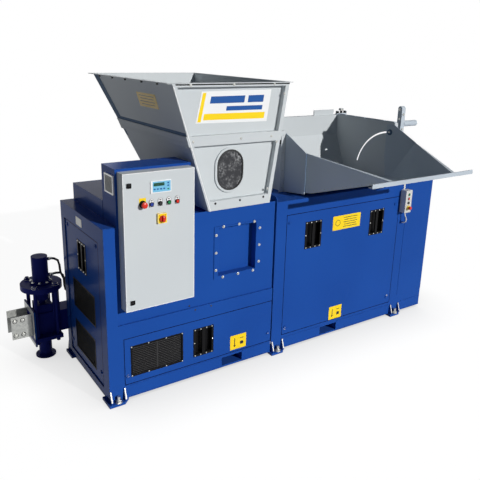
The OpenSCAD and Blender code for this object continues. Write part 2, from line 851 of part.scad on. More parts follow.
// An upright oblong plate, w wide and h high
module oblong(x, z, w, h, y0, y1) {
  for (s = [-1, 1]) bar_y(y0, y1, x, z + s * (h - w) / 2, w / 2);
  block([x - w / 2, y0, z - (h - w) / 2], [x + w / 2, y1, z + (h - w) / 2]);
}

// Front wall: a folded frame with a belt, and two fields set back between its strips
module hopper_front() {
  back = hopper_frame - hopper_t;
  rim_strip = 25;
  color(grey) difference() {
    front_field(hopper_z, hopper_top, 0, 0, hopper_frame);
    front_field(base_strip_z, belt_z[0], stile_w, -1, back);
    front_field(belt_z[1], hopper_top - rim_strip, stile_w, -1, back);
    oblong(window_x, window_z, window_w - 8, window_h - 8, 0, hopper_frame + 1);
  }
}

// The outward rim flange of a side wall at x, where s is -1 on the left and 1 on the right
module side_rim(x, s) {
  z = hopper_top - hopper_t;
  ends = [x + s * rim_w, x - s * hopper_t];
  front = [x + s * rim_w, x];
  block([min(ends), hopper_frame, z], [max(ends), rim_y + rim_w, hopper_top]);
  block([min(front), 0, z], [max(front), hopper_frame + eps, hopper_top]);
}

module hopper_left() {
  zs = [hopper_z, hopper_top];
  p = [for (k = [[0, 0], [1, 0], [1, 1], [0, 1]])
    [hop_left(zs[k.x], 0), k.y == 0 ? hopper_frame : hop_back(zs[k.x], 0), zs[k.x]]];
  b = [for (k = [[0, 0], [1, 0], [1, 1], [0, 1]])
    [hop_left(belt_z[k.x], 0), k.y == 0 ? 0 : hop_back(belt_z[k.x], hopper_t), belt_z[k.x]]];
  color(grey) {
    slab(p, [hopper_t, 0, 0]);
    slab(b, [-8, 0, 0]);
    side_rim(rim_x[0], -1);
  }
}

module hopper_right() {
  zs = [hopper_z, hopper_top];
  p = [for (k = [[0, 0], [1, 0], [1, 1], [0, 1]])
    [hop_right(zs[k.x], 0), k.y == 0 ? hopper_frame : hop_back(zs[k.x], 0), zs[k.x]]];
  b = [for (k = [[0, 0], [1, 0], [1, 1], [0, 1]])
    [hop_right(belt_z[k.x], 0), k.y == 0 ? 0 : hop_back(belt_z[k.x], hopper_t), belt_z[k.x]]];
  color(grey) {
    slab(p, [-hopper_t, 0, 0]);
    slab(b, [8, 0, 0]);
    side_rim(rim_x[1], 1);
  }
}

module hopper_back() {
  zs = [hopper_z, hopper_top];
  p = [for (k = [[0, 0], [1, 0], [1, 1], [0, 1]])
    [k.y == 0 ? hop_left(zs[k.x], hopper_t) : hop_right(zs[k.x], hopper_t), hop_back(zs[k.x], 0), zs[k.x]]];
  color(grey) {
    slab(p, [0, -hopper_t, 0]);
    block([rim_x[0] + hopper_t, rim_y - hopper_t, hopper_top - hopper_t],
      [rim_x[1] - hopper_t, rim_y + rim_w, hopper_top]);
  }
}

// Oblong window: a raised rim around a pane
module hopper_window() {
  y1 = hopper_frame - hopper_t;
  color(steel) difference() {
    oblong(window_x, window_z, window_w + 24, window_h + 24, y1 - 10, y1);
    oblong(window_x, window_z, window_w - 8, window_h - 8, y1 - 11, y1 - 5);
  }
}

// Front sheet of the breaker module with the opening for the service panel
module breaker_front() {
  color(blue) {
    difference() {
      block([breaker_x + sheet, 0, deck_z], [breaker_x1, sheet, breaker_h]);
      block([breaker_x + right_panel_x[0], -1, right_panel_z[0]],
        [breaker_x + right_panel_x[1], sheet + 1, right_panel_z[1]]);
    }
    difference() {
      for (x = [right_panel_x[0] - 14, right_panel_x[1] - 16]) {
        block([breaker_x + x, sheet - eps, right_panel_z[0] - 10], [breaker_x + x + 30, sheet + 4, right_panel_z[1] + 10]);
      }
      block([breaker_x + right_panel_x[0], 0, right_panel_z[0]],
        [breaker_x + right_panel_x[1], sheet, right_panel_z[1]]);
    }
    block([corner_cover_x, -2, deck_z + 75], [breaker_x1, eps, breaker_h - sheet]);
    bar_y(-18, eps, pendant_x + 36, 892, 10);
  }
}

// Outline of the bunker below the rotors, t outside its clear space
module bunker_profile(x0, x1, t, top) {
  y = bunker_y;
  profile_x(x0, x1, [[y[0] - t, top], [y[0] - t, screw_z + 110 - t], [screw_y - duct_r, screw_z - t],
    [screw_y + duct_r, screw_z - t], [y[1] + t, screw_z + 110 - t], [y[1] + t, top]]);
  bar_x(x0, x1, screw_y, screw_z, duct_r + t);
}

// Room for the chute's left side plate and for the hub of the flap beside it
module side_slot() {
  block([chute_x0 - chute_t - slot_gap, chute_y[0] - slot_gap, foot_wall_z], [chute_x0, bunker_y[0] + 1, breaker_h + 1]);
  bar_x(chute_x0, side_x0 + flap_t + 1, pivot_y, pivot_z, hub_r + hub_room);
}

// Side, back and top sheets of the breaker housing, the bunker, and the duct of the transfer screw
module breaker_shell() {
  x0 = breaker_x;
  x1 = breaker_x1;
  ear_h = 44;
  ear_r = 40;
  color(blue) {
    difference() {
      union() {
        block([x0, 0, deck_z], [x0 + sheet, breaker_d, breaker_h]);
        block([x0, ear_r, breaker_h - eps], [x0 + sheet, breaker_d, breaker_h + ear_h]);
        bar_x(x0, x0 + sheet, ear_r, breaker_h + ear_h - ear_r, ear_r);
      }
      bar_x(x0 - 1, x0 + sheet + 1, screw_y, screw_z, duct_r);
      block([x0 - 1, channel_y0 - channel_t, channel_z - 20], [x0 + sheet + 1, channel_y1 + channel_t, channel_z1 + 20]);
    }
    block([x1 - sheet, sheet, deck_z], [x1, breaker_d, breaker_h]);
    block([x0 + sheet - eps, breaker_d - sheet, deck_z], [x1, breaker_d, breaker_h]);
    difference() {
      block([x0 + sheet - eps, sheet, breaker_h - sheet], [x1, breaker_d, breaker_h]);
      block([chute_x0 - chute_t, bunker_y[0] - sheet, breaker_h - 10], [bay_x, chute_low_y + chute_t, breaker_h + 1]);
      block([bay_x - 1, pivot_y - 50, breaker_h - 10], [lever_x + lever_w + 10, pivot_y + 170, breaker_h + 1]);
      both_sides() side_slot();
    }
    difference() {
      union() {
        bunker_profile(chute_x0 - chute_t, bay_x, sheet, breaker_h - sheet + eps);
        for (y = rotor_y) bar_x(chute_x0 - chute_t - 20, chute_x0, y, rotor_z, shaft_r + 25);
        bar_x(throat_x[1], chute_x0, screw_y, screw_z, duct_r + sheet);
      }
      bunker_profile(chute_x0, chute_x1, 0, breaker_h + 1);
      block([chute_x0 - 10, bunker_y[0], foot_wall_z], [bay_x + 10, bunker_y[1], breaker_h + 10]);
      for (y = rotor_y) bar_x(chute_x0 - 40, bay_x + 1, y, rotor_z, shaft_r + run_fit);
      bar_x(throat_x[1] - 1, chute_x0 + 1, screw_y, screw_z, duct_r);
      bar_x(chute_x1 - 1, bay_x + 1, screw_y, screw_z, 30 + run_fit);
      both_sides() side_slot();
    }
  }
}

grip_xs = [breaker_x + 371, breaker_x + 1073];
grip_row_z = 937;

module right_panel() {
  x0 = breaker_x + right_panel_x[0] + seam;
  x1 = breaker_x + right_panel_x[1] - seam;
  color(blue) {
    difference() {
      block([x0, 0, right_panel_z[0] + seam], [x1, sheet, right_panel_z[1] - seam]);
      for (x = grip_xs) translate([x, 0, grip_row_z]) grip_hole();
    }
    for (x = [x0 + 28, x1 - 44], z = [right_panel_z[0] + 60, right_panel_z[1] - 60]) lock(x, z);
  }
}

module right_grips() {
  color(black) for (x = grip_xs) translate([x, 0, grip_row_z]) grip_tray();
}

// Mirrors its child from the chute's left side to its right side, and keeps the first
module both_sides() {
  children();
  translate([2 * mid_x, 0, 0]) mirror([1, 0, 0]) children();
}

// One side wall of the chute: sheet with the arc slot and the pivot's bore, and outward flanges
module chute_side() {
  a0 = knob_angle - flap_swing - 3;
  a1 = knob_angle + 3;
  y0 = chute_y[0];
  y1 = chute_y[1] + chute_t;
  x0 = chute_x0 - chute_t;
  difference() {
    profile_x(x0, chute_x0, [[y0, foot_wall_z], [chute_low_y + chute_t, foot_wall_z],
      [chute_low_y + chute_t, breaker_h], [y1, bend_z], [y1, chute_top], [y0, chute_top]]);
    bar_x(x0 - 1, chute_x0 + 1, pivot_y, pivot_z, pin_r + run_fit);
    translate([x0 - 1, pivot_y, pivot_z]) rotate([90, 0, 90]) rotate([0, 0, a0])
      rotate_extrude(angle = a1 - a0) translate([arc_r - arc_w / 2, 0]) square([arc_w, chute_t + 2]);
    for (a = [a0, a1]) {
      bar_x(x0 - 1, chute_x0 + 1, pivot_y + arc_r * cos(a), pivot_z + arc_r * sin(a), arc_w / 2);
    }
  }
  block([x0 - chute_flange, y0, chute_top - chute_t], [x0 + eps, y1 + chute_flange, chute_top]);
  block([x0 - chute_flange, y0, breaker_h], [x0 + eps, y0 + chute_t, chute_top - chute_t + eps]);
}

module chute_sides() {
  color(grey) both_sides() chute_side();
}

// Back wall of the chute: upright above the bend, sloping forward below it
module chute_back() {
  y0 = chute_y[1];
  y1 = y0 + chute_t;
  color(grey) {
    profile_x(chute_x0, chute_x1, [[chute_low_y, breaker_h], [chute_low_y + chute_t, breaker_h],
      [y1, bend_z], [y1, chute_top - chute_t], [y1 + chute_flange, chute_top - chute_t],
      [y1 + chute_flange, chute_top], [y0, chute_top], [y0, bend_z]]);
    block([mid_x + 319, y1 + 10, chute_top - eps], [mid_x + 571, y1 + 18, chute_top + 49]);
  }
}

// Places of the trough's left half: knee, lip, wing top and the floor's back corner
knee = [side_x0 + knee_in, 0, knee_z];
lip = [mid_x - lip_l / 2, -lip_y, lip_z];
wing_top = [side_x0 + flap_t, 0, wing_top_z];
floor_back = [side_x0 + flap_t, floor_back_y, floor_back_z];

function flip_x(p) = [2 * mid_x - p.x, p.y, p.z];

// Trough of the flap: floor in two parts, wings, corner sheets, edge flanges and the lip bar
module flap_trough() {
  color(grey) {
    slab([knee, flip_x(knee), flip_x(lip), lip], [0, 0, -flap_t]);
    slab([knee, flip_x(knee), flip_x(floor_back), floor_back], [0, 0, -flap_t]);
    both_sides() {
      slab([wing_top, knee, lip], [flap_t, 0, 0]);
      slab([wing_top, knee, floor_back], [flap_t, 0, 0]);
      slab([wing_top, wing_top + [flap_t / 2, 0, 0], lip + [flap_t / 2, 0, 0], lip - [wing_flange, 0, 0]],
        [0, 0, -flap_t]);
    }
    block([mid_x - lip_bar_l / 2, -lip_y - 8, lip_z - 24], [mid_x + lip_bar_l / 2, -lip_y + flap_t / 2, lip_z + 6]);
    block([mid_x - lip_bar_l / 2, -lip_y - 1, lip_z - 24], [mid_x + lip_bar_l / 2, -lip_y + 30, lip_z - 20]);
  }
}

// Side plates that carry the trough on its two pivots
module flap_sides() {
  rear_y = pivot_y + 62;
  color(grey) both_sides() {
    difference() {
      union() {
        profile_x(side_x0, side_x0 + flap_t, [[0, knee_z - 4], [0, wing_top_z], [pivot_y - 13, chute_top - 12],
          [rear_y, chute_top - 20], [rear_y, pivot_z + 195], [pivot_y + hub_r - 2, pivot_z],
          [pivot_y - hub_r + 4, pivot_z - 10], [pivot_y - 45, breaker_h + 4]]);
        bar_x(side_x0, side_x0 + flap_t, pivot_y, pivot_z, hub_r);
      }
      bar_x(side_x0 - 1, side_x0 + flap_t + 1, knob_y, knob_z, 6.2);
    }
    bar_x(chute_x0 - chute_t + 0.5, side_x0 + eps, pivot_y, pivot_z, pin_r);
  }
}

// Clamping knobs in the arc slots, with their bolts
module flap_knobs() {
  x = chute_x0 - chute_t - 0.5;
  color(black) both_sides() {
    bar_x(x - eps, side_x0 + flap_t + 6, knob_y, knob_z, 6);
    bar_x(x - 14, x, knob_y, knob_z, 20);
    for (a = [0:60:300]) bar_x(x - 14, x - 2, knob_y + 19 * cos(a), knob_z + 19 * sin(a), 6);
  }
}

// Hand lever on the right pivot
module flap_lever() {
  x1 = lever_x + lever_w;
  color(grey) {
    bar_x(bay_x - 0.5, lever_x + eps, pivot_y, pivot_z, pin_r);
    block([lever_x, pivot_y - lever_w / 2, pivot_z - 24], [x1, pivot_y + lever_w / 2, lever_top]);
    bar_x(x1 - eps, x1 + 170, pivot_y, lever_top - 133, 26);
  }
}

pendant_mid = pendant_x + pendant_w / 2;
pendant_front = -3 - pendant_d;
pendant_estop_z = pendant_z + 45;
pendant_button_z = [for (i = [0:2]) pendant_z + 160 - i * 37];

// Pendant box with its hanging strap, hooked over the housing's edge
module pendant_box() {
  y = pendant_front;
  color(grey) {
    difference() {
      block([pendant_x, y, pendant_z], [pendant_x + pendant_w, -3, pendant_z + pendant_h]);
      for (z = pendant_button_z) bar_y(y - 1, y + 22, pendant_mid, z, 9 + run_fit);
      bar_y(y - 15, y + 22, pendant_mid, pendant_estop_z, 6 + run_fit);
    }
    block([pendant_mid - 10, -3 - eps, pendant_z + 120], [pendant_mid + 10, 0, breaker_h + 3]);
    block([pendant_mid - 10, -eps, breaker_h], [pendant_mid + 10, 16, breaker_h + 3]);
  }
  color(yellow) difference() {
    bar_y(y - 12, y + eps, pendant_mid, pendant_estop_z, 18);
    bar_y(y - 15, y + 1, pendant_mid, pendant_estop_z, 6 + run_fit);
  }
}

module pendant_button(i) {
  bar_y(pendant_front - 6, pendant_front + 16, pendant_mid, pendant_button_z[i], 9);
}

module pendant_up() {
  color(green) pendant_button(0);
}

module pendant_stop() {
  color(red) pendant_button(1);
}

module pendant_down() {
  color(black) pendant_button(2);
}

module pendant_estop() {
  color(red) mushroom(pendant_mid, pendant_front - 20, pendant_estop_z, 15, 14, 6, pendant_front + 14);
}

module pendant_cable() {
  color(white) cord(CABLE, 5, 10);
}

// Upright clamp cylinder with its ports
module clamp_cylinder() {
  z0 = head_z + head_t;
  z1 = 809;
  r = clamp_d / 2;
  color(blue) difference() {
    union() {
      bar_z(z0, z1, clamp_x, channel_y, r);
      bar_z(z0, z0 + 14, clamp_x, channel_y, r + 22);
      for (z = [650, 775]) bar_x(clamp_x + r - 6, clamp_x + r + 8, channel_y, z, 12);
    }
    bar_z(z0 + 14, z1 - 12, clamp_x, channel_y, r - 12);
    bar_z(z0 - 1, z0 + 15, clamp_x, channel_y, rod_r + run_fit);
  }
}

rod_r = 22;
tie_r = 14;
tie_x = [clamp_x - 75, clamp_x + 75];
tie_y = [channel_y - 105, channel_y + 105];

// Clamp frame: round head on four tie rods, cross plate, square end plate and the support leg
module clamp_frame() {
  low_z = channel_z - channel_t - 30;
  color(blue) {
    difference() {
      bar_z(head_z, head_z + head_t, clamp_x, channel_y, head_r);
      bar_z(head_z - 1, head_z + head_t + 1, clamp_x, channel_y, rod_r + run_fit);
    }
    for (x = tie_x, y = tie_y) {
      bar_z(low_z - 25, head_z + head_t + 20, x, y, tie_r);
      translate([x, y, head_z + head_t - eps]) cylinder(h = 12, r = 22, $fn = 6);
    }
    block([tie_x[0] - 30, tie_y[0] - 30, low_z], [tie_x[1] + 30, tie_y[1] + 30, low_z + 30]);
    difference() {
      block([plate_x - 12, channel_y - 133, channel_mid_z - 145], [plate_x, channel_y + 133, channel_mid_z + 140]);
      block([plate_x - 13, channel_y0, channel_z], [plate_x + 1, channel_y1, channel_z1]);
    }
    bar_z(0, 12, clamp_x, channel_y, 75);
    bar_z(12 - eps, low_z + eps, clamp_x, channel_y, 48);
  }
}

// Clamp jaw with its rod and piston
module clamp_jaw() {
  c = run_fit;
  color(steel) {
    block([clamp_x - jaw_l / 2 + c, channel_y0 + c, jaw_rest_z],
      [clamp_x + jaw_l / 2 - c, channel_y1 - c, jaw_rest_z + jaw_h]);
    bar_z(jaw_rest_z + jaw_h - eps, head_z + head_t + 150, clamp_x, channel_y, rod_r);
    bar_z(head_z + head_t + 120, head_z + head_t + 150, clamp_x, channel_y, clamp_d / 2 - 12 - c);
  }
}

// Guide plates behind the outlet, with their bolts
module guide_plates() {
  x0 = plate_x - 160;
  color(white) for (y = [channel_y0 - 8, channel_y1]) {
    block([x0, y, channel_z], [plate_x - 12, y + 8, channel_z1 + 26]);
  }
  color(steel) for (x = [x0 + 25, x0 + 80], z = [channel_z + 30, channel_z1 - 5]) {
    translate([x, channel_y0 - 8 + eps, z]) rotate([90, 0, 0]) cylinder(h = 9, r = 10, $fn = 6);
    translate([x, channel_y1 + 8 - eps, z]) rotate([-90, 0, 0]) cylinder(h = 9, r = 10, $fn = 6);
  }
}

module clamp_hoses() {
  color(black) {
    cord(HOSE_TOP, 9, 12);
    cord(HOSE_LOW, 9, 12);
  }
}

// Press channel with the shaft that feeds it
module press_chamber() {
  t = channel_t;
  wall_t = sheet;
  x0 = throat_x[0];
  x1 = throat_x[1];
  low_z = channel_z1 + t;
  color(steel) {
    difference() {
      block([plate_x, channel_y0 - t, channel_z - t], [channel_x1, channel_y1 + t, low_z]);
      block([plate_x - 1, channel_y0, channel_z], [channel_x1 + 1, channel_y1, channel_z1]);
      block([x0 + wall_t, channel_y0, channel_z], [x1 - wall_t, channel_y1, low_z + 1]);
      block([clamp_x - jaw_l / 2, channel_y0, channel_z], [clamp_x + jaw_l / 2, channel_y1, low_z + 1]);
    }
    difference() {
      block([channel_x1 - eps, channel_y0 - t, channel_z - t], [cylinder_x0, channel_y1 + t, low_z]);
      bar_x(channel_x1 - 1, cylinder_x0 + 1, channel_y, channel_mid_z, ram_rod_r + run_fit);
    }
    difference() {
      profile_x(x0, x1, [[hopper_frame, hopper_z], [throat_y1, hopper_z], [throat_y1, funnel_top - 5],
        [channel_y1 + t, low_z + 30], [channel_y1 + t, low_z - eps], [channel_y0 - t, low_z - eps]]);
      profile_x(x0 + wall_t, x1 - wall_t, [[hopper_frame + 6, hopper_z + 1], [throat_y1 - wall_t, hopper_z + 1],
        [throat_y1 - wall_t, funnel_top - 6], [channel_y1, low_z + 29], [channel_y1, low_z - 1],
        [channel_y0, low_z - 1]]);
      bar_x(x1 - 10, x1 + 1, screw_y, screw_z, duct_r);
    }
  }
}

ram_rod_r = 30;

// Main ram: head, rod and piston
module main_ram() {
  c = run_fit;
  rod_x1 = cylinder_x0 + ram_stroke + 40;
  color(steel) {
    block([ram_x, channel_y0 + c, channel_z + c], [ram_x + ram_l, channel_y1 - c, channel_z1 - c]);
    bar_x(ram_x + ram_l - eps, rod_x1, channel_y, channel_mid_z, ram_rod_r);
    bar_x(rod_x1 - eps, rod_x1 + piston_l, channel_y, channel_mid_z, cylinder_bore - c);
  }
}

module main_cylinder() {
  x1 = cylinder_x0 + ram_stroke + piston_l + 65;
  color(blue) difference() {
    bar_x(cylinder_x0, x1, channel_y, channel_mid_z, cylinder_r);
    bar_x(cylinder_x0 + 20, x1 - 20, channel_y, channel_mid_z, cylinder_bore);
    bar_x(cylinder_x0 - 1, cylinder_x0 + 21, channel_y, channel_mid_z, ram_rod_r + run_fit);
  }
}

// Power unit: tank, motor, bell housing and pump
module power_unit() {
  tank = [[60, 240, deck_z], [700, 790, deck_z + 320]];
  z = tank[1].z + 130;
  color(blue) {
    block(tank[0], tank[1]);
    bar_x(140, 430, 520, z, 105);
    bar_x(430 - eps, 520, 520, z, 70);
    block([520 - eps, 465, z - 60], [620, 575, z + 60]);
    for (x = [180, 360]) block([x, 440, tank[1].z - eps], [x + 40, 600, z - 60]);
  }
}

// One rotor: shaft and toothed discs, each disc turned a little further than the last
module rotor(y, first) {
  count = floor((chute_l - first - 8) / disc_pitch);
  disc_t = disc_pitch / 2 - 6;
  teeth = 4;
  bar_x(chute_x0 - chute_t - 20, bay_x + 35, y, rotor_z, shaft_r);
  for (i = [0:count - 1]) {
    translate([chute_x0 + first + i * disc_pitch, y, rotor_z]) rotate([90, 0, 90]) rotate([0, 0, i * 22]) {
      cylinder(h = disc_t, r = disc_r);
      for (k = [0:teeth - 1]) rotate([0, 0, k * 360 / teeth]) linear_extrude(disc_t)
        polygon([[disc_r - 20, -30], [disc_r - 4, -26], [tooth_r, 8], [tooth_r - 3, 22], [disc_r - 5, 26],
          [disc_r - 20, 26]]);
    }
  }
}

module rotor_front() {
  color(steel) rotor(rotor_y[0], 10);
}

module rotor_rear() {
  color(steel) rotor(rotor_y[1], 10 + disc_pitch / 2);
}

// Gear motors in the drive bay: one for each rotor and one for the transfer screw
module gearmotors() {
  drives = [[rotor_y[0], rotor_z, 95, shaft_r], [rotor_y[1], rotor_z, 95, shaft_r], [screw_y, screw_z, 75, 30]];
  color(blue) for (d = drives) difference() {
    union() {
      block([bay_x, d[0] - d[2] - 5, d[1] - d[2] - 5], [bay_x + 90, d[0] + d[2] + 5, d[1] + d[2] + 5]);
      bar_x(bay_x + 90 - eps, breaker_x1 - 25, d[0], d[1], d[2]);
    }
    bar_x(bay_x - 1, bay_x + 45, d[0], d[1], d[3] + run_fit);
  }
}

// Transfer screw: a shaft with two flights
module transfer_screw() {
  x1 = bay_x + 35;
  flight_l = chute_x1 - screw_x0 - 30;
  color(steel) {
    bar_x(screw_x0, x1, screw_y, screw_z, 30);
    translate([screw_x0 + 10, screw_y, screw_z]) rotate([90, 0, 90])
      linear_extrude(flight_l, twist = -360 * flight_l / screw_pitch, slices = round(flight_l / 14), segments = 8)
        square([2 * screw_r, 14], center = true);
  }
}

press_base();
breaker_base();
levelling_screws();
press_frame();
front_plate();
access_cover();
press_back();
press_roof();
left_panel();
left_grille();
left_grip();
end_panel();
end_grilles();
end_grip();
cabinet_hood();
vent_filter();
cabinet_box();
cabinet_door();
display();
legend_plates();
estop();
button_blue();
button_black();
button_green();
button_red();
switch_knob();
hopper_front();
hopper_back();
hopper_left();
hopper_right();
hopper_window();
breaker_front();
breaker_shell();
right_panel();
right_grips();
chute_sides();
chute_back();
flap_trough();
flap_sides();
flap_knobs();
flap_lever();
pendant_box();
pendant_up();
pendant_stop();
pendant_down();
pendant_estop();
pendant_cable();
clamp_cylinder();
clamp_frame();
clamp_jaw();
guide_plates();
clamp_hoses();
press_chamber();
main_ram();
main_cylinder();
power_unit();
rotor_front();
rotor_rear();
gearmotors();
transfer_screw();
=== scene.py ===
import math

import bmesh
import bpy
from mathutils import Matrix, Vector


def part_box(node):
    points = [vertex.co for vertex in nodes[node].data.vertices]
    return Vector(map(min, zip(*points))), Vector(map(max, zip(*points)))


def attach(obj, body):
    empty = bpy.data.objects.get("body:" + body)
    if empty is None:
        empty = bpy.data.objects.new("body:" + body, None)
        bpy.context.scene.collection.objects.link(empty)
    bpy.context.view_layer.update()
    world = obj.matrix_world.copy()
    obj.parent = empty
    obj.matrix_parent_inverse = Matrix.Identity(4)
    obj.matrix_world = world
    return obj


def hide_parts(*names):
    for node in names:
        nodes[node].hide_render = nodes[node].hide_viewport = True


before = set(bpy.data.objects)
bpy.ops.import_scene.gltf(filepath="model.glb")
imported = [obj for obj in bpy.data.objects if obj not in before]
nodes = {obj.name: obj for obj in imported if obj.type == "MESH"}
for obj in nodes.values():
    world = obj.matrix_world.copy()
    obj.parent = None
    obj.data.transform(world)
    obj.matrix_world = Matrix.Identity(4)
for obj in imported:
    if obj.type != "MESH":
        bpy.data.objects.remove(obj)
scene = bpy.context.scene
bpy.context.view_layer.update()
print("frame loaded:", len(nodes), "nodes")

# places and sizes of pieces are in millimetres of the CAD frame, until mm() makes them metres;
# the finishes' radii and depths and the stage's sizes are in metres
xAxis, yAxis, zAxis = Vector((1, 0, 0)), Vector((0, 1, 0)), Vector((0, 0, 1))


def mm(x, y, z):
    return Vector((x, y, z)) / 1000


def nodeBox(name):
    # low and high corner of a CAD node
    low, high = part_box(name)
    return low * 1000, high * 1000


def screenColour(red, green, blue):
    # a colour as a screen shows it, 0 to 255, as linear light
    def linear(value):
        value /= 255
        return value / 12.92 if value <= 0.04045 else ((value + 0.055) / 1.055) ** 2.4

    return (linear(red), linear(green), linear(blue), 1.0)


cameraView = {
    "place": (-1209.7, -3255.3, 2319.3),
    "yaw": 34.0,  # from +Y towards +X
    "pitch": -16.26,
    "roll": 1.41,
    "lens": 43.56,
    "sensor": 36,
    "shift": (0.0064, -0.0463),
    "reach": 60,  # metres
}


def makeCamera(view):
    yaw, pitch, roll = (math.radians(view[k]) for k in ("yaw", "pitch", "roll"))
    forward = Vector((math.sin(yaw) * math.cos(pitch), math.cos(yaw) * math.cos(pitch), math.sin(pitch)))
    level = Vector((math.cos(yaw), -math.sin(yaw), 0))
    upright = level.cross(forward)
    right = level * math.cos(roll) + upright * math.sin(roll)
    up = upright * math.cos(roll) - level * math.sin(roll)
    data = bpy.data.cameras.new("camera")
    data.lens, data.sensor_width, data.clip_end = view["lens"], view["sensor"], view["reach"]
    data.shift_x, data.shift_y = view["shift"]
    camera = bpy.data.objects.new("camera", data)
    turn = Matrix((right, up, -forward)).transposed().to_4x4()
    camera.matrix_world = Matrix.Translation(mm(*view["place"])) @ turn
    scene.collection.objects.link(camera)
    scene.camera = camera


makeCamera(cameraView)


def setInput(tree, socket, value):
    # links another node's output, or sets a plain value
    if isinstance(value, bpy.types.NodeSocket):
        tree.links.new(value, socket)
    else:
        socket.default_value = value


def addNode(tree, kind, inputs=None, **settings):
    made = tree.nodes.new(kind)
    for key, value in settings.items():
        setattr(made, key, value)
    for key, value in (inputs or {}).items():
        setInput(tree, made.inputs[key], value)
    return made


def maths(tree, operation, first, second=0.0, clamp=False):
    return addNode(tree, "ShaderNodeMath", {0: first, 1: second}, operation=operation,
                   use_clamp=clamp).outputs[0]


def blendColour(tree, factor, first, second):
    return addNode(tree, "ShaderNodeMix", {0: factor, 6: first, 7: second},
                   data_type="RGBA").outputs[2]


def spread(tree, value, low, high, toLow=0.0, toHigh=1.0):
    return addNode(tree, "ShaderNodeMapRange", {"Value": value, "From Min": low, "From Max": high,
                                                "To Min": toLow, "To Max": toHigh}).outputs[0]


def noise(tree, vector, scale, detail, roughness=0.5):
    return addNode(tree, "ShaderNodeTexNoise", {"Vector": vector, "Scale": scale, "Detail": detail,
                                                "Roughness": roughness}).outputs[0]


def newTree(name, kind, inputs, outputs):
    # a socket is given by its kind, or by its first value where it holds a number
    tree = bpy.data.node_groups.new(name, kind)
    for way, sockets in (("INPUT", inputs), ("OUTPUT", outputs)):
        for label, given in sockets.items():
            number = isinstance(given, float)
            kindName = "NodeSocket" + ("Float" if number else given)
            socket = tree.interface.new_socket(label, in_out=way, socket_type=kindName)
            if number:
                socket.default_value = given
    return tree, tree.nodes.new("NodeGroupInput").outputs, tree.nodes.new("NodeGroupOutput").inputs


def makeEdgeWearAndHighlight():
    # rounded edge normal, and a mask of the edges that breaks up a little
    group, given, result = newTree(
        "edgeWearAndHighlight", "ShaderNodeTree",
        {"Vector": "Vector", "Radius": 0.002, "Strength": 1.0, "Breakup": 40.0},
        {"Mask": "Float", "Normal": "Vector"})
    rounded = addNode(group, "ShaderNodeBevel", {"Radius": given["Radius"]}, samples=4).outputs[0]
    flat = addNode(group, "ShaderNodeNewGeometry").outputs["Normal"]
    same = addNode(group, "ShaderNodeVectorMath", {0: rounded, 1: flat},
                   operation="DOT_PRODUCT").outputs["Value"]
    edge = spread(group, same, 0.995, 0.85)
    patches = spread(group, noise(group, given["Vector"], given["Breakup"], 3.0), 0.35, 0.65)
    broken = maths(group, "MULTIPLY", edge, patches)
    setInput(group, result["Mask"], maths(group, "MULTIPLY", broken, given["Strength"], clamp=True))
    setInput(group, result["Normal"], rounded)
    return group


def makePaintGrain():
    # fine orange peel with the slow waves that sheet metal has
    group, given, result = newTree(
        "paintGrain", "ShaderNodeTree",
        {"Vector": "Vector", "Grain": 900.0, "Waves": 3.0, "Wave height": 4.0},
        {"Height": "Float", "Tone": "Float"})
    fine = noise(group, given["Vector"], given["Grain"], 2.0)
    slow = noise(group, given["Vector"], given["Waves"], 1.0)
    raised = maths(group, "MULTIPLY", slow, given["Wave height"])
    setInput(group, result["Height"], maths(group, "ADD", fine, raised))
    setInput(group, result["Tone"], spread(group, slow, 0.3, 0.7))
    return group


def makeDust():
    # pale dust that lies on upward faces, in soft patches
    group, given, result = newTree(
        "dust", "ShaderNodeTree",
        {"Vector": "Vector", "Facing": "Vector", "Amount": 0.3, "Patches": 6.0}, {"Mask": "Float"})
    up = addNode(group, "ShaderNodeSeparateXYZ", {0: given["Facing"]}).outputs["Z"]
    patches = noise(group, given["Vector"], given["Patches"], 6.0, 0.7)
    covered = maths(group, "MULTIPLY", spread(group, up, 0.2, 1.0), spread(group, patches, 0.35, 0.75))
    setInput(group, result["Mask"], maths(group, "MULTIPLY", covered, given["Amount"], clamp=True))
    return group


groups = {"edgeWearAndHighlight": makeEdgeWearAndHighlight(), "paintGrain": makePaintGrain(), "dust": makeDust()}


def useGroup(tree, name, inputs):
    return addNode(tree, "ShaderNodeGroup", inputs, node_tree=groups[name]).outputs


def newMaterial(name):
    # the material, its tree, the shader's inputs and the texture coordinates
    material = bpy.data.materials.new(name)
    material.use_nodes = True
    tree = material.node_tree
    place = addNode(tree, "ShaderNodeTexCoord").outputs
    return material, tree, tree.nodes["Principled BSDF"].inputs, place


def dressShader(tree, shader, colour, rough, bump):
    setInput(tree, shader["Base Color"], colour)
    setInput(tree, shader["Roughness"], rough)
    setInput(tree, shader["Normal"], addNode(tree, "ShaderNodeBump", bump).outputs[0])


everydayPaint = {"grain": 900.0, "waves": 2.5, "waveHeight": 5.0, "edgeRadius": 0.0016, "wearAndHighlight": 0.25,
                 "breakup": 60.0, "edgeGain": 1.5, "edgeLift": 0.02, "dust": 0.1,
                 "dustColour": (176, 174, 166), "dustRough": 0.3, "rough": (0.28, 0.38), "gloss": 0.3,
                 "bump": 0.15, "bumpDepth": 0.0004}
everydayMetal = {"stretch": (1, 1, 1), "streaks": 25.0, "spangle": 90.0, "spangleShare": 0.0,
                 "edgeRadius": 0.001, "wearAndHighlight": 0.6, "breakup": 90.0, "edgeColour": (225, 225, 222),
                 "rough": (0.25, 0.45), "metallic": 1.0, "bump": 0.2, "bumpDepth": 0.0003}


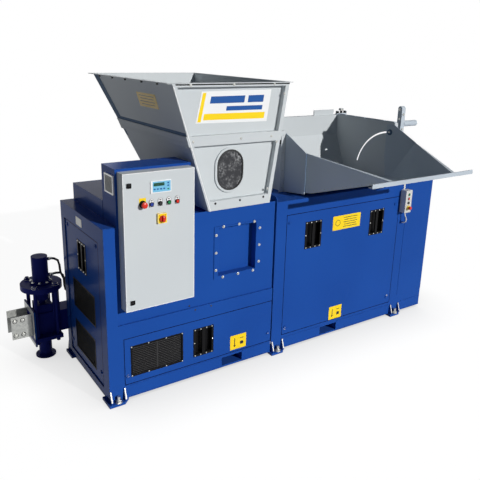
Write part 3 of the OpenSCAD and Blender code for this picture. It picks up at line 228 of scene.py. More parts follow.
def makePaint(name, look):
    # painted or moulded surface: tone that drifts, rounded edges made lighter, partly as wear and partly
    # as painted highlight, grain and a little dust
    material, tree, shader, place = newMaterial(name)
    base = screenColour(*look["colour"])
    brighter = [min(1.0, c * look["edgeGain"] + look["edgeLift"]) for c in base[:3]] + [1.0]
    edgeColour = screenColour(*look["edgeColour"]) if "edgeColour" in look else brighter
    grain = useGroup(tree, "paintGrain", {"Vector": place["Object"], "Grain": look["grain"],
                                          "Waves": look["waves"], "Wave height": look["waveHeight"]})
    edge = useGroup(tree, "edgeWearAndHighlight", {"Vector": place["Object"], "Radius": look["edgeRadius"],
                                       "Strength": look["wearAndHighlight"], "Breakup": look["breakup"]})
    dust = useGroup(tree, "dust", {"Vector": place["Object"], "Facing": place["Normal"],
                                   "Amount": look["dust"]})
    colour = blendColour(tree, grain["Tone"], base, screenColour(*look["shade"]))
    colour = blendColour(tree, edge["Mask"], colour, edgeColour)
    colour = blendColour(tree, dust["Mask"], colour, screenColour(*look["dustColour"]))
    rough = maths(tree, "ADD", spread(tree, grain["Tone"], 0.0, 1.0, *look["rough"]),
                  maths(tree, "MULTIPLY", dust["Mask"], look["dustRough"]))
    shader["Specular IOR Level"].default_value = look["gloss"]
    dressShader(tree, shader, colour, rough, {"Height": grain["Height"], "Normal": edge["Normal"],
                                              "Strength": look["bump"], "Distance": look["bumpDepth"]})
    return material


def makeMetal(name, look):
    # bare metal: streaked or spangled tone, fine scratches, brighter edges
    material, tree, shader, place = newMaterial(name)
    turned = addNode(tree, "ShaderNodeMapping", {"Vector": place["Object"], "Scale": look["stretch"]})
    streaks = noise(tree, turned.outputs[0], look["streaks"], 5.0, 0.65)
    spangle = addNode(tree, "ShaderNodeTexVoronoi", {"Vector": place["Object"], "Scale": look["spangle"]})
    tone = addNode(tree, "ShaderNodeSeparateColor", {0: spangle.outputs["Color"]}).outputs[0]
    mixed = maths(tree, "ADD", maths(tree, "MULTIPLY", streaks, 1 - look["spangleShare"]),
                  maths(tree, "MULTIPLY", tone, look["spangleShare"]))
    edge = useGroup(tree, "edgeWearAndHighlight", {"Vector": place["Object"], "Radius": look["edgeRadius"],
                                       "Strength": look["wearAndHighlight"], "Breakup": look["breakup"]})
    colour = blendColour(tree, spread(tree, mixed, 0.25, 0.75), screenColour(*look["dark"]),
                         screenColour(*look["light"]))
    colour = blendColour(tree, edge["Mask"], colour, screenColour(*look["edgeColour"]))
    shader["Metallic"].default_value = look["metallic"]
    dressShader(tree, shader, colour, spread(tree, mixed, 0.2, 0.8, *look["rough"]),
                {"Height": streaks, "Normal": edge["Normal"], "Strength": look["bump"],
                 "Distance": look["bumpDepth"]})
    return material


def makeMottledGlass(name, look):
    # pane with foam beads pressed against its back; its dark tone between the beads is painted shade of
    # the foam inside the hopper
    material, tree, shader, place = newMaterial(name)
    cloud = noise(tree, place["Object"], look["clouds"], 4.0, 0.6)
    beads = addNode(tree, "ShaderNodeTexVoronoi", {"Vector": place["Object"],
                                                   "Scale": look["beads"]}).outputs["Distance"]
    lumps = maths(tree, "MULTIPLY", spread(tree, cloud, 0.42, 0.7), spread(tree, beads, 0.75, 0.1))
    colour = blendColour(tree, lumps, screenColour(*look["dark"]), screenColour(*look["light"]))
    dressShader(tree, shader, colour, spread(tree, cloud, 0.3, 0.7, *look["rough"]),
                {"Height": beads, "Strength": look["bump"], "Distance": look["bumpDepth"]})
    return material


# each paint's edge colour is lighter than the paint itself: partly wear, partly painted highlight on the
# edges
paints = {
    "bluePaint": dict(colour=(31, 78, 160), shade=(29, 73, 153), edgeColour=(70, 112, 190), waves=1.6,
                      waveHeight=9.0, wearAndHighlight=0.5, rough=(0.18, 0.28), gloss=0.025, dust=0.03),
    "darkBluePaint": dict(colour=(34, 44, 128), shade=(28, 36, 112), edgeColour=(74, 86, 156),
                          rough=(0.3, 0.42), gloss=0.03, dust=0.04),
    "greyPaint": dict(colour=(204, 210, 213), shade=(199, 205, 209), edgeColour=(228, 231, 232),
                      grain=420.0, waves=1.2, waveHeight=3.0, wearAndHighlight=0.3, rough=(0.36, 0.46), gloss=0.06,
                      dust=0.03),
    "flapPaint": dict(colour=(192, 202, 212), shade=(184, 195, 206), edgeColour=(228, 231, 232),
                      grain=420.0, wearAndHighlight=0.12, rough=(0.34, 0.5), gloss=0.05, dust=0.03),
    "blackPlastic": dict(colour=(27, 27, 29), shade=(22, 22, 24), edgeColour=(70, 71, 74), grain=1400.0,
                         edgeRadius=0.0012, rough=(0.34, 0.46), gloss=0.4, bump=0.25),
    "gripBlack": dict(colour=(13, 13, 15), shade=(9, 9, 11), edgeColour=(44, 45, 48), grain=1400.0,
                      edgeRadius=0.0012, rough=(0.4, 0.5), gloss=0.1, bump=0.25, dust=0.02),
    # slate grey: painted shade on the hopper's left wall; also used for the flap's knob caps and corner
    # strips
    "slateGrey": dict(colour=(98, 120, 146), shade=(90, 112, 138), grain=1200.0, edgeRadius=0.0006,
                        wearAndHighlight=0.0, rough=(0.5, 0.6), gloss=0.05, dust=0.02),
    "seamDark": dict(colour=(12, 14, 52), shade=(10, 12, 44), grain=1400.0, edgeRadius=0.0004, wearAndHighlight=0.0,
                     rough=(0.5, 0.6), gloss=0.02, dust=0.0),
    "greyPlastic": dict(colour=(206, 206, 202), shade=(200, 200, 197), grain=1200.0, edgeRadius=0.0012,
                        rough=(0.38, 0.48)),
    "whitePlastic": dict(colour=(226, 227, 225), shade=(219, 221, 220), grain=1200.0, edgeRadius=0.0008),
    "yellowPlastic": dict(colour=(250, 216, 22), shade=(244, 206, 18), edgeColour=(255, 232, 96),
                          grain=1000.0, edgeRadius=0.0008),
    "ochrePlate": dict(colour=(218, 184, 74), shade=(200, 166, 62), edgeRadius=0.0006, dust=0.3),
    "redPlastic": dict(colour=(222, 52, 34), shade=(208, 42, 28), edgeColour=(240, 110, 84),
                       grain=1200.0, edgeRadius=0.0015, rough=(0.25, 0.35)),
    "greenPlastic": dict(colour=(22, 128, 72), shade=(18, 116, 64), grain=1200.0, edgeRadius=0.0012),
    "bluePlastic": dict(colour=(36, 60, 150), shade=(30, 52, 138), grain=1200.0, edgeRadius=0.0012),
    "membraneBlue": dict(colour=(122, 192, 226), shade=(112, 184, 220), grain=1600.0, edgeRadius=0.0005),
    "screenGreen": dict(colour=(24, 84, 58), shade=(18, 70, 48), grain=1600.0, edgeRadius=0.0004,
                        rough=(0.12, 0.2)),
    "inkDark": dict(colour=(38, 36, 34), shade=(30, 28, 27), grain=1600.0, edgeRadius=0.0003),
    "inkBlue": dict(colour=(16, 84, 158), shade=(14, 76, 148), grain=1600.0, edgeRadius=0.0003),
    "signWhite": dict(colour=(240, 241, 242), shade=(234, 236, 238), grain=1400.0, edgeRadius=0.0006),
    "hoseRubber": dict(colour=(26, 26, 38), shade=(20, 20, 30), grain=1500.0, edgeRadius=0.001,
                       rough=(0.42, 0.55), bump=0.5, dust=0.2),
    "cableRubber": dict(colour=(224, 224, 220), shade=(214, 214, 210), grain=1800.0, edgeRadius=0.0005,
                        rough=(0.4, 0.5)),
}
metals = {
    "zincSteel": dict(dark=(168, 170, 170), light=(214, 214, 208), streaks=120.0, spangle=300.0,
                      spangleShare=0.3, metallic=0.85, rough=(0.22, 0.38)),
    "galvanisedSteel": dict(dark=(158, 160, 158), light=(178, 180, 177), spangle=110.0,
                            spangleShare=0.5, metallic=0.5, rough=(0.32, 0.5)),
    "brightSteel": dict(dark=(150, 152, 154), light=(200, 202, 202), stretch=(1, 1, 12), streaks=30.0,
                        rough=(0.2, 0.35)),
    "millSteel": dict(dark=(74, 74, 76), light=(126, 124, 120), streaks=14.0, spangle=30.0,
                      spangleShare=0.2, metallic=0.8, rough=(0.4, 0.62), bump=0.4),
    "aluminium": dict(dark=(172, 174, 176), light=(204, 206, 206), stretch=(1, 1, 10), streaks=40.0,
                      metallic=0.85, rough=(0.34, 0.5)),
    "platePale": dict(dark=(150, 152, 150), light=(186, 188, 184), stretch=(1, 14, 1), streaks=60.0,
                      metallic=0.5, rough=(0.3, 0.42)),
}
# the dark colour is painted shade of the foam inside the hopper, the light colour the foam beads
beadedGlass = {"clouds": 14.0, "beads": 70.0, "dark": (34, 36, 42), "light": (176, 178, 180),
               "rough": (0.08, 0.2), "bump": 0.25, "bumpDepth": 0.0005}
finishes = {name: makePaint(name, {**everydayPaint, **look}) for name, look in paints.items()}
finishes.update({name: makeMetal(name, {**everydayMetal, **look}) for name, look in metals.items()})
finishes["windowGlass"] = makeMottledGlass("windowGlass", beadedGlass)

nodeFinishes = {
    "bluePaint": "press_base breaker_base press_frame front_plate access_cover press_back press_roof "
                 "left_panel end_panel cabinet_hood breaker_front breaker_shell right_panel "
                 "main_cylinder power_unit gearmotors",
    "darkBluePaint": "clamp_cylinder clamp_frame press_chamber clamp_jaw",
    "greyPaint": "cabinet_box cabinet_door hopper_front hopper_back hopper_left hopper_right "
                 "hopper_window chute_sides chute_back",
    "flapPaint": "flap_trough flap_sides flap_lever",
    "gripBlack": "left_grip end_grilles end_grip right_grips",
    "blackPlastic": "left_grille flap_knobs button_black pendant_down",
    "greyPlastic": "pendant_box",
    "signWhite": "display",
    "aluminium": "vent_filter",
    "yellowPlastic": "legend_plates",
    "redPlastic": "estop button_red switch_knob pendant_stop pendant_estop",
    "greenPlastic": "button_green pendant_up",
    "bluePlastic": "button_blue",
    "zincSteel": "levelling_screws",
    "galvanisedSteel": "guide_plates",
    "brightSteel": "main_ram",
    "millSteel": "rotor_front rotor_rear transfer_screw",
    "hoseRubber": "clamp_hoses",
    "cableRubber": "pendant_cable",
}
for finish, names in nodeFinishes.items():
    for name in names.split():
        nodes[name].data.materials.clear()
        nodes[name].data.materials.append(finishes[finish])
print("finishes set on", sum(len(names.split()) for names in nodeFinishes.values()), "nodes")


def placePiece(name, data, body):
    piece = bpy.data.objects.new(name, data)
    scene.collection.objects.link(piece)
    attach(piece, body)
    return piece


def finishPiece(name, bm, materials, body):
    bmesh.ops.remove_doubles(bm, verts=bm.verts, dist=1e-6)
    bmesh.ops.recalc_face_normals(bm, faces=bm.faces)
    mesh = bpy.data.meshes.new(name)
    bm.to_mesh(mesh)
    bm.free()
    for key in materials:
        mesh.materials.append(finishes[key])
    return placePiece(name, mesh, body)


def addSlab(bm, outline, push, bevel=0.0, material=0):
    # an outline pushed out by a vector, both in metres, its outer rim bevelled by millimetres
    low = [bm.verts.new(point) for point in outline]
    high = [bm.verts.new(Vector(point) + push) for point in outline]
    count = len(outline)
    top = bm.faces.new(high)
    made = [bm.faces.new(low[::-1]), top]
    for i in range(count):
        j = (i + 1) % count
        made.append(bm.faces.new((low[i], low[j], high[j], high[i])))
    for face in made:
        face.material_index = material
    if bevel:
        bmesh.ops.bevel(bm, geom=list(top.edges), offset=bevel / 1000, segments=2, profile=0.6,
                        affect="EDGES")


def addPlate(bm, centre, size, radius, push, bevel=0.0, material=0, across=xAxis, up=zAxis):
    # a slab with rounded corners; its centre and push are in metres
    width, height, radius = size[0] / 1000, size[1] / 1000, radius / 1000
    steps = 4
    outline = []
    for turn, (signX, signY) in enumerate(((1, 1), (-1, 1), (-1, -1), (1, -1))):
        for k in range(steps + 1):
            angle = math.radians(90 * turn + 90 * k / steps)
            outline.append(centre + across * (signX * (width / 2 - radius) + radius * math.cos(angle))
                           + up * (signY * (height / 2 - radius) + radius * math.sin(angle)))
    addSlab(bm, outline, push, bevel, material)


def addStrip(bm, xs, zs, y, thick, bevel, material=0):
    # a flat bar that faces the front, thick towards it
    (x0, x1), (z0, z1) = xs, zs
    addSlab(bm, [mm(x0, y, z0), mm(x1, y, z0), mm(x1, y, z1), mm(x0, y, z1)], mm(0, -thick, 0), bevel,
            material)


def addFrame(bm, low, high, face, out, width, axis=0):
    # four flat bars round an opening; axis is 0 for a front frame and 1 for an end frame
    (a0, b0), (a1, b1) = low, high

    def point(a, depth, b):
        return mm(a, depth, b) if axis == 0 else mm(depth, a, b)

    for a2, b2, a3, b3 in ((a0, b0, a1, b0 + width), (a0, b1 - width, a1, b1),
                           (a0, b0 + width, a0 + width, b1 - width),
                           (a1 - width, b0 + width, a1, b1 - width)):
        addSlab(bm, [point(a2, face, b2), point(a3, face, b2), point(a3, face, b3), point(a2, face, b3)],
                point(0, -out, 0), 0.4)


def addLathe(bm, profile, origin, axis, sides=32, material=0):
    # a turned piece: (radius, height) points spun round an axis, closed at both ends
    side = axis.orthogonal().normalized()
    other = axis.cross(side)
    rings = []
    for radius, height in profile:
        middle = origin + axis * height / 1000
        turns = [2 * math.pi * k / sides for k in range(sides)] if radius else [0.0]
        rings.append([bm.verts.new(middle + (side * math.cos(t) + other * math.sin(t)) * radius / 1000)
                      for t in turns])
    for first, second in zip(rings, rings[1:]):
        for k in range(sides):
            n = (k + 1) % sides
            corners = [first[k % len(first)], first[n % len(first)],
                       second[n % len(second)], second[k % len(second)]]
            face = bm.faces.new([v for i, v in enumerate(corners) if v not in corners[:i]])
            face.material_index = material
            face.smooth = True
    for ring in (rings[0], rings[-1]):
        if len(ring) > 2:
            bm.faces.new(ring).material_index = material


def newGrowTree(name, sockets):
    return newTree(name, "GeometryNodeTree", {"Geometry": "Geometry", **sockets},
                   {"Geometry": "Geometry"})


def closeTree(tree, shape, given, result):
    # makes the copies real and gives them their material
    real = addNode(tree, "GeometryNodeRealizeInstances", {"Geometry": shape}).outputs[0]
    done = addNode(tree, "GeometryNodeSetMaterial", {"Geometry": real, "Material": given["Material"]})
    setInput(tree, result["Geometry"], done.outputs[0])
    return tree


def lifted(tree, shape, height):
    lift = addNode(tree, "ShaderNodeCombineXYZ", {"Z": height}).outputs[0]
    return addNode(tree, "GeometryNodeTransform", {"Geometry": shape, "Translation": lift}).outputs[0]


def copiesOnPoints(tree, points, shape, facing):
    # a copy on every point, standing along its facing
    turn = addNode(tree, "FunctionNodeAlignRotationToVector", {"Vector": facing}, axis="Z").outputs[0]
    return addNode(tree, "GeometryNodeInstanceOnPoints", {
        "Points": points, "Instance": shape, "Rotation": turn}).outputs[0]


def makeFastenerTree():
    # a head on a washer at every point of the guide mesh
    tree, given, result = newGrowTree("fastenerHeads", {
        "Head radius": "Float", "Head height": "Float", "Sides": "Int", "Top share": "Float",
        "Washer radius": "Float", "Washer height": "Float", "Material": "Material"})
    topRadius = maths(tree, "MULTIPLY", given["Head radius"], given["Top share"])
    head = addNode(tree, "GeometryNodeMeshCone", {
        "Vertices": given["Sides"], "Radius Top": topRadius, "Radius Bottom": given["Head radius"],
        "Depth": given["Head height"]}).outputs[0]
    washer = addNode(tree, "GeometryNodeMeshCylinder", {
        "Vertices": 16, "Radius": given["Washer radius"], "Depth": given["Washer height"]}).outputs[0]
    whole = addNode(tree, "GeometryNodeJoinGeometry")
    tree.links.new(lifted(tree, head, given["Washer height"]), whole.inputs[0])
    half = maths(tree, "MULTIPLY", given["Washer height"], 0.5)
    tree.links.new(lifted(tree, washer, half), whole.inputs[0])
    facing = addNode(tree, "GeometryNodeInputNamedAttribute", {"Name": "facing"},
                     data_type="FLOAT_VECTOR").outputs[0]
    placed = copiesOnPoints(tree, given["Geometry"], whole.outputs[0], facing)
    return closeTree(tree, placed, given, result)


def makeWireTree():
    # round wire along every edge of the guide mesh
    tree, given, result = newGrowTree("wires", {"Wire radius": "Float", "Sides": "Int",
                                                "Material": "Material"})
    path = addNode(tree, "GeometryNodeMeshToCurve", {"Mesh": given["Geometry"]}).outputs[0]
    ring = addNode(tree, "GeometryNodeCurvePrimitiveCircle", {
        "Resolution": given["Sides"], "Radius": given["Wire radius"]}).outputs[0]
    wire = addNode(tree, "GeometryNodeCurveToMesh", {"Curve": path, "Profile Curve": ring,
                                                     "Fill Caps": True}).outputs[0]
    return closeTree(tree, wire, given, result)


def makeRowTree():
    # small heads in an even row along every edge of the guide mesh
    tree, given, result = newGrowTree("headRows", {
        "Spacing": "Float", "Head radius": "Float", "Head height": "Float", "Top share": "Float",
        "Facing": "Vector", "Material": "Material"})
    path = addNode(tree, "GeometryNodeMeshToCurve", {"Mesh": given["Geometry"]}).outputs[0]
    points = addNode(tree, "GeometryNodeResampleCurve", {"Curve": path, "Length": given["Spacing"]},
                     mode="LENGTH").outputs[0]
    topRadius = maths(tree, "MULTIPLY", given["Head radius"], given["Top share"])
    head = addNode(tree, "GeometryNodeMeshCone", {
        "Vertices": 10, "Radius Top": topRadius, "Radius Bottom": given["Head radius"],
        "Depth": given["Head height"]}).outputs[0]
    return closeTree(tree, copiesOnPoints(tree, points, head, given["Facing"]), given, result)


fastenerTree, wireTree, rowTree = makeFastenerTree(), makeWireTree(), makeRowTree()


def growPiece(name, tree, guide, settings, body):
    # runs a tree on a guide mesh and keeps the result as a plain mesh
    grower = bpy.data.objects.new(name + "Guide", guide)
    scene.collection.objects.link(grower)
    modifier = grower.modifiers.new("grow", "NODES")
    modifier.node_group = tree
    settings = dict(settings, Material=finishes[settings["Material"]])
    for item in tree.interface.items_tree:
        if item.in_out == "INPUT" and item.name in settings:
            modifier[item.identifier] = settings[item.name]
    evaluated = grower.evaluated_get(bpy.context.evaluated_depsgraph_get())
    mesh = bpy.data.meshes.new_from_object(evaluated)
    mesh.name = name
    grower.modifiers.remove(modifier)
    bpy.data.objects.remove(grower)
    return placePiece(name, mesh, body)


def fastener(head, sides, topShare, washer, material="zincSteel"):
    # head and washer are each (radius, height)
    return {"Head radius": head[0] / 1000, "Head height": head[1] / 1000, "Sides": sides,
            "Top share": topShare, "Washer radius": washer[0] / 1000,
            "Washer height": washer[1] / 1000, "Material": material}


def setFasteners(name, spots, look, body):
    # spots are (place, facing) pairs
    guide = bpy.data.meshes.new(name + "Guide")
    guide.from_pydata([place for place, _ in spots], [], [])
    facing = guide.attributes.new("facing", "FLOAT_VECTOR", "POINT")
    facing.data.foreach_set("vector", [c for _, way in spots for c in way])
    growPiece(name, fastenerTree, guide, look, body)


def frontSpots(places, y=0):
    return [(mm(x, y, z), -yAxis) for x, z in places]


def growAlong(name, tree, lines, settings, body):
    # lines are lists of points, each joined in turn
    points, edges = [], []
    for line in lines:
        edges += [(len(points) + i, len(points) + i + 1) for i in range(len(line) - 1)]
        points += line
    guide = bpy.data.meshes.new(name + "Guide")
    guide.from_pydata(points, edges, [])
    growPiece(name, tree, guide, settings, body)


def wires(radius, sides, material):
    return {"Wire radius": radius / 1000, "Sides": sides, "Material": material}


# from the pendant's foot down and back into the gland
pendantCable = {
    "route": [(2722, -33, 990), (2722, -33, 980), (2723, -34, 971), (2725, -36, 962), (2727, -39, 953),
              (2730, -42, 944), (2731, -44, 936), (2732, -46, 928), (2732, -47, 920), (2731, -47, 912),
              (2729, -45, 905), (2727, -41, 899), (2724, -34, 894), (2720, -26, 892), (2720, -18, 892)],
    "diameter": 10,
    "length": 122,
}


def makePendantCable(cable):
    curve = bpy.data.curves.new("pendantCable", "CURVE")
    curve.dimensions = "3D"
    curve.bevel_depth = cable["diameter"] / 2000
    curve.bevel_resolution = 5
    curve.use_fill_caps = True
    spline = curve.splines.new("POLY")
    spline.points.add(len(cable["route"]) - 1)
    for point, place in zip(spline.points, cable["route"]):
        point.co = (*mm(*place), 1)
    curve.materials.append(finishes["cableRubber"])
    cord = placePiece("pendantCable", curve, "frame")
    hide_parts("pendant_cable")


makePendantCable(pendantCable)
print("cable laid")

hopperSign = {
    "corners": [(667, 1844), (1239, 1835), (1272, 2052), (714, 2047)],  # X and Z, on the upper field
    "fieldDepth": 4,
    "thickness": 1.5,
    "ink": 0.3,
    # from and to along the plate, from and to up it, both as shares, and which finish
    "bars": [(0.09, 0.95, 0.10, 0.30, 1), (0.02, 0.065, 0.04, 0.96, 1), (0.14, 0.62, 0.62, 0.84, 2),
             (0.67, 0.90, 0.62, 0.84, 2), (0.38, 0.90, 0.38, 0.52, 2)],
}


def makeHopperSign(sign):
    fieldY = nodeBox("hopper_front")[1].y - sign["fieldDepth"]
    low, right, top, left = (Vector(corner) for corner in sign["corners"])

    def field(u0, u1, v0, v1, lift):
        points = []
        for u, v in ((u0, v0), (u1, v0), (u1, v1), (u0, v1)):
            p = (low * (1 - u) + right * u) * (1 - v) + (left * (1 - u) + top * u) * v
            points.append(mm(p.x, fieldY - lift, p.y))
        return points

    bm = bmesh.new()
    addSlab(bm, field(0, 1, 0, 1, 0), mm(0, -sign["thickness"], 0), 0.5)
    for *shares, material in sign["bars"]:
        addSlab(bm, field(*shares, sign["thickness"]), mm(0, -sign["ink"], 0), material=material)
    finishPiece("hopperSign", bm, ["signWhite", "yellowPlastic", "inkBlue"], "frame")


# insets are off the window node's width and height
hopperWindow = {"paneInset": 32.6, "paneDepth": 5, "paneThickness": 1.2, "stripInset": 32,
                "stripWidth": 9, "stripFront": 2.2, "stripBack": 4, "steps": 16}


def makeHopperWindow(window):
    low, high = nodeBox("hopper_window")
    centre = (low + high) / 2
    steps = window["steps"]

    def oblong(inset, y):
        # an upright outline with half-round ends, seen from the front
        radius = (high.x - low.x - inset) / 2
        straight = (high.z - low.z - inset) / 2 - radius
        return [mm(centre.x + radius * math.cos(angle), y,
                   centre.z + end * straight + radius * math.sin(angle))
                for end, first in ((1, 0), (-1, math.pi))
                for angle in (first + math.pi * k / steps for k in range(steps + 1))]

    bm = bmesh.new()
    addSlab(bm, oblong(window["paneInset"], low.y + window["paneDepth"]),
            mm(0, -window["paneThickness"], 0), 0.4)
    finishPiece("windowPane", bm, ["windowGlass"], "frame")
    bm = bmesh.new()
    outer, inner = window["stripInset"], window["stripInset"] + 2 * window["stripWidth"]
    front, back = low.y - window["stripFront"], low.y + window["stripBack"]
    rings = [[bm.verts.new(p) for p in oblong(inset, y)]
             for inset, y in ((outer, back), (outer, front), (inner, front), (inner, back))]
    for k in range(4):
        first, second = rings[k], rings[(k + 1) % 4]
        for i in range(len(first)):
            j = (i + 1) % len(first)
            bm.faces.new((first[i], first[j], second[j], second[i]))
    finishPiece("windowStrip", bm, ["blackPlastic"], "frame")


hopperScrews = {
    "plug": fastener((6.5, 3), 12, 0.7, (8.5, 1), "blackPlastic"),
    "plugs": [(806, 1300), (1008, 1300), (1210, 1300)],
    "bolt": fastener((6, 4), 6, 0.85, (9, 1.2)),
    "bolts": [(1361, 2024), (1309, 1691), (1244, 1357), (1004, 1733), (632, 1733), (1262, 1733)],
    "rimFace": [(612, 2091), (938, 2091), (1270, 2091)],
    "rimFaceY": -2,
    "rimBolt": fastener((9, 13), 12, 0.7, (8.5, 1), "blackPlastic"),
    "rimX": (461, 1423),
    "rimY": (165, 400, 674, 909, 1160),
    "flange": 4,
}


def makeHopperScrews(screws):
    rimTop = nodeBox("hopper_left")[1].z
    setFasteners("hopperFootPlugs", frontSpots(screws["plugs"]), screws["plug"], "frame")
    setFasteners("hopperBolts", frontSpots(screws["bolts"])
                 + frontSpots(screws["rimFace"], screws["rimFaceY"]), screws["bolt"], "frame")
    under = [(mm(x, y, rimTop - screws["flange"]), -zAxis) for x in screws["rimX"] for y in screws["rimY"]]
    setFasteners("rimBolts", under, screws["rimBolt"], "frame")


hopperFolds = {
    "footX": 758, "rimX": 481, "footZ": 1250, "rimZ": 2099, "backFootY": 830, "backRimY": 1350,
    "stripWidth": 96, "lowerStripWidth": 40, "ledgeStrip": 24, "ledgeY": 8, "stripThickness": 1.5,
    "beltZ": (1694, 1766), "beltOut": (4, 13), "beltY": 32,
    "highlightStripWidth": 7, "highlightStripDrop": 16, "paintedStripThickness": 2,
    "rimShadowStrip": [(508, 2090), (1402, 2090), (1404, 2098), (504, 2098)],
}


def makeHopperFolds(folds):
    # belt of the left wall, slate strips as painted shade of its folded stiles and of the belt's top, a
    # white strip as painted highlight on the front edge, a black strip as painted shadow under the rim
    footX, rimX, footZ, rimZ = (folds[k] for k in ("footX", "rimX", "footZ", "rimZ"))
    slope = Vector((footX - rimX, 0, footZ - rimZ)).normalized()
    out = Vector((slope.z, 0, -slope.x))
    thick = out * folds["stripThickness"] / 1000

    def wall(z, y, lift=0.0):
        x = footX + (rimX - footX) * (z - footZ) / (rimZ - footZ)
        return mm(x + out.x * lift, y, z + out.z * lift)

    def backY(z):
        share = (z - footZ) / (rimZ - footZ)
        return folds["backFootY"] + (folds["backRimY"] - folds["backFootY"]) * share

    def strip(z0, z1, near0, far0, near1, far1):
        addSlab(bm, [wall(z0, near0), wall(z0, far0), wall(z1, far1), wall(z1, near1)], thick, 0.5)

    beltLow, beltHigh = folds["beltZ"]
    width, lowerWidth = folds["stripWidth"], folds["lowerStripWidth"]
    bm = bmesh.new()
    # painted shade: slate strips along the back edge, where the stiles' inner faces lie in shade, and
    # above the belt, where its top lies in shade
    for low, high, across in ((footZ, beltLow, lowerWidth), (beltHigh, rimZ - 2, width)):
        strip(low, high, backY(low) - across, backY(low) - 1, backY(high) - across, backY(high) - 1)
    ledge = beltHigh + folds["ledgeStrip"]
    strip(beltHigh, ledge, folds["ledgeY"], backY(beltHigh) - width, folds["ledgeY"],
          backY(ledge) - width)
    finishPiece("hopperSidePaintedShade", bm, ["slateGrey"], "frame")
    bm = bmesh.new()
    top, foot = folds["beltOut"]
    rings = [[bm.verts.new(point) for point in (wall(beltHigh, highY), wall(beltHigh, highY, top),
                                                wall(beltLow, lowY, foot), wall(beltLow, lowY))]
             for highY, lowY in ((folds["beltY"],) * 2, (backY(beltHigh), backY(beltLow)))]
    for ring in rings:
        bm.faces.new(ring)
    for i in range(4):
        j = (i + 1) % 4
        bm.faces.new((rings[0][i], rings[0][j], rings[1][j], rings[1][i]))
    bmesh.ops.bevel(bm, geom=list(bm.edges), offset=0.0015, segments=2, affect="EDGES")
    finishPiece("hopperSideBelt", bm, ["greyPaint"], "frame")
    # painted highlight: a white strip along the front wall's left edge
    bm = bmesh.new()
    highlightWidth, highlightTop = folds["highlightStripWidth"], rimZ - folds["highlightStripDrop"]
    push = mm(0, -folds["paintedStripThickness"], 0)
    addSlab(bm, [mm(footX + highlightWidth, 0, footZ), mm(footX + 2 * highlightWidth, 0, footZ),
                 mm(rimX + 2 * highlightWidth, 0, highlightTop), mm(rimX + highlightWidth, 0, highlightTop)], push, 0.8)
    finishPiece("hopperEdgePaintedHighlight", bm, ["signWhite"], "frame")
    # painted shadow: a black strip under the rim's front flange
    bm = bmesh.new()
    addSlab(bm, [mm(x, 0, z) for x, z in folds["rimShadowStrip"]], push, 0.8)
    finishPiece("hopperRimPaintedShadow", bm, ["gripBlack"], "frame")


makeHopperSign(hopperSign)
makeHopperWindow(hopperWindow)
makeHopperScrews(hopperScrews)
makeHopperFolds(hopperFolds)
print("hopper dressed")

panelPlates = {
    "places": {"leftPanelPlate": ((1024, 197), (144, 116), "left_cover"),
               "rightPanelPlate": ((2008, 199), (142, 116), "right_cover")},
    "corner": 6, "thickness": 1, "ink": 0.2,
    "arrow": (12, 18, -0.34),  # half width, height, and the tip's share of the plate's height
    # share across, share up, width, height and corner of each bar
    "bars": [(-0.22, 0.02, 7, 64.96, 2), (0.22, -0.12, 30, 26, 4), (0.22, 0.22, 34, 5, 2)],
}


def makePanelPlates(plates):
    # yellow plates with plain bars, an arrow and a small square, all in raised ink
    for name, (place, (width, height), body) in plates["places"].items():
        bm = bmesh.new()
        middle = mm(place[0], 0, place[1])
        push, ink = mm(0, -plates["thickness"], 0), mm(0, -plates["ink"], 0)
        addPlate(bm, middle, (width, height), plates["corner"], push, 0.3)
        for u, v, barWidth, barHeight, corner in plates["bars"]:
            addPlate(bm, middle + push + mm(u * width, 0, v * height), (barWidth, barHeight), corner, ink,
                     material=1)
        half, rise, share = plates["arrow"]
        tip = middle + push + mm(plates["bars"][0][0] * width, 0, share * height)
        addSlab(bm, [tip + mm(-half, 0, rise), tip, tip + mm(half, 0, rise)], ink, material=1)
        finishPiece(name, bm, ["yellowPlastic", "inkDark"], body)


noticePlate = {"centre": (2063, 0, 991), "size": (303, 118), "corner": 8, "thickness": 1, "ink": 0.2,
               "ringShare": -0.32, "ringRadius": 26, "ringWidth": 4, "ringSides": 28, "lines": 5,
               "lineShare": 0.13, "lineShares": (0.5, 0.44), "firstLine": 0.32, "lineStep": 0.16,
               "lineHeight": 5}


def makeNoticePlate(plate):
    # wide yellow plate with a ring at its left and plain lines beside it
    bm = bmesh.new()
    middle = mm(*plate["centre"])
    width, height = plate["size"]
    push, ink = mm(0, -plate["thickness"], 0), mm(0, -plate["ink"], 0)
    addPlate(bm, middle, plate["size"], plate["corner"], push, 0.3)
    hub = middle + push + mm(plate["ringShare"] * width, 0, 0)
    radius, sides = plate["ringRadius"], plate["ringSides"]
    inner = radius - plate["ringWidth"]
    for k in range(sides):
        a, b = (2 * math.pi * (k + i) / sides for i in (0, 1))
        addSlab(bm, [hub + mm(math.cos(t) * r, 0, math.sin(t) * r)
                     for t, r in ((a, radius), (b, radius), (b, inner), (a, inner))], ink, material=1)
    for i in range(plate["lines"]):
        rise = height * (plate["firstLine"] - plate["lineStep"] * i)
        addPlate(bm, middle + push + mm(plate["lineShare"] * width, 0, rise),
                 (width * plate["lineShares"][i % 2], plate["lineHeight"]), 2, ink, material=1)
    finishPiece("noticePlate", bm, ["yellowPlastic", "inkDark"], "right_cover")


hopperSidePlate = {"y": (303, 600), "z": (1911, 2015), "rimInset": 32, "footInset": 4, "corner": 6,
                   "thickness": 1, "ink": 0.2, "lines": 4, "firstLine": 0.3, "lineStep": 0.2,
                   "lineShares": (0.8, 0.7), "lineHeight": 5}


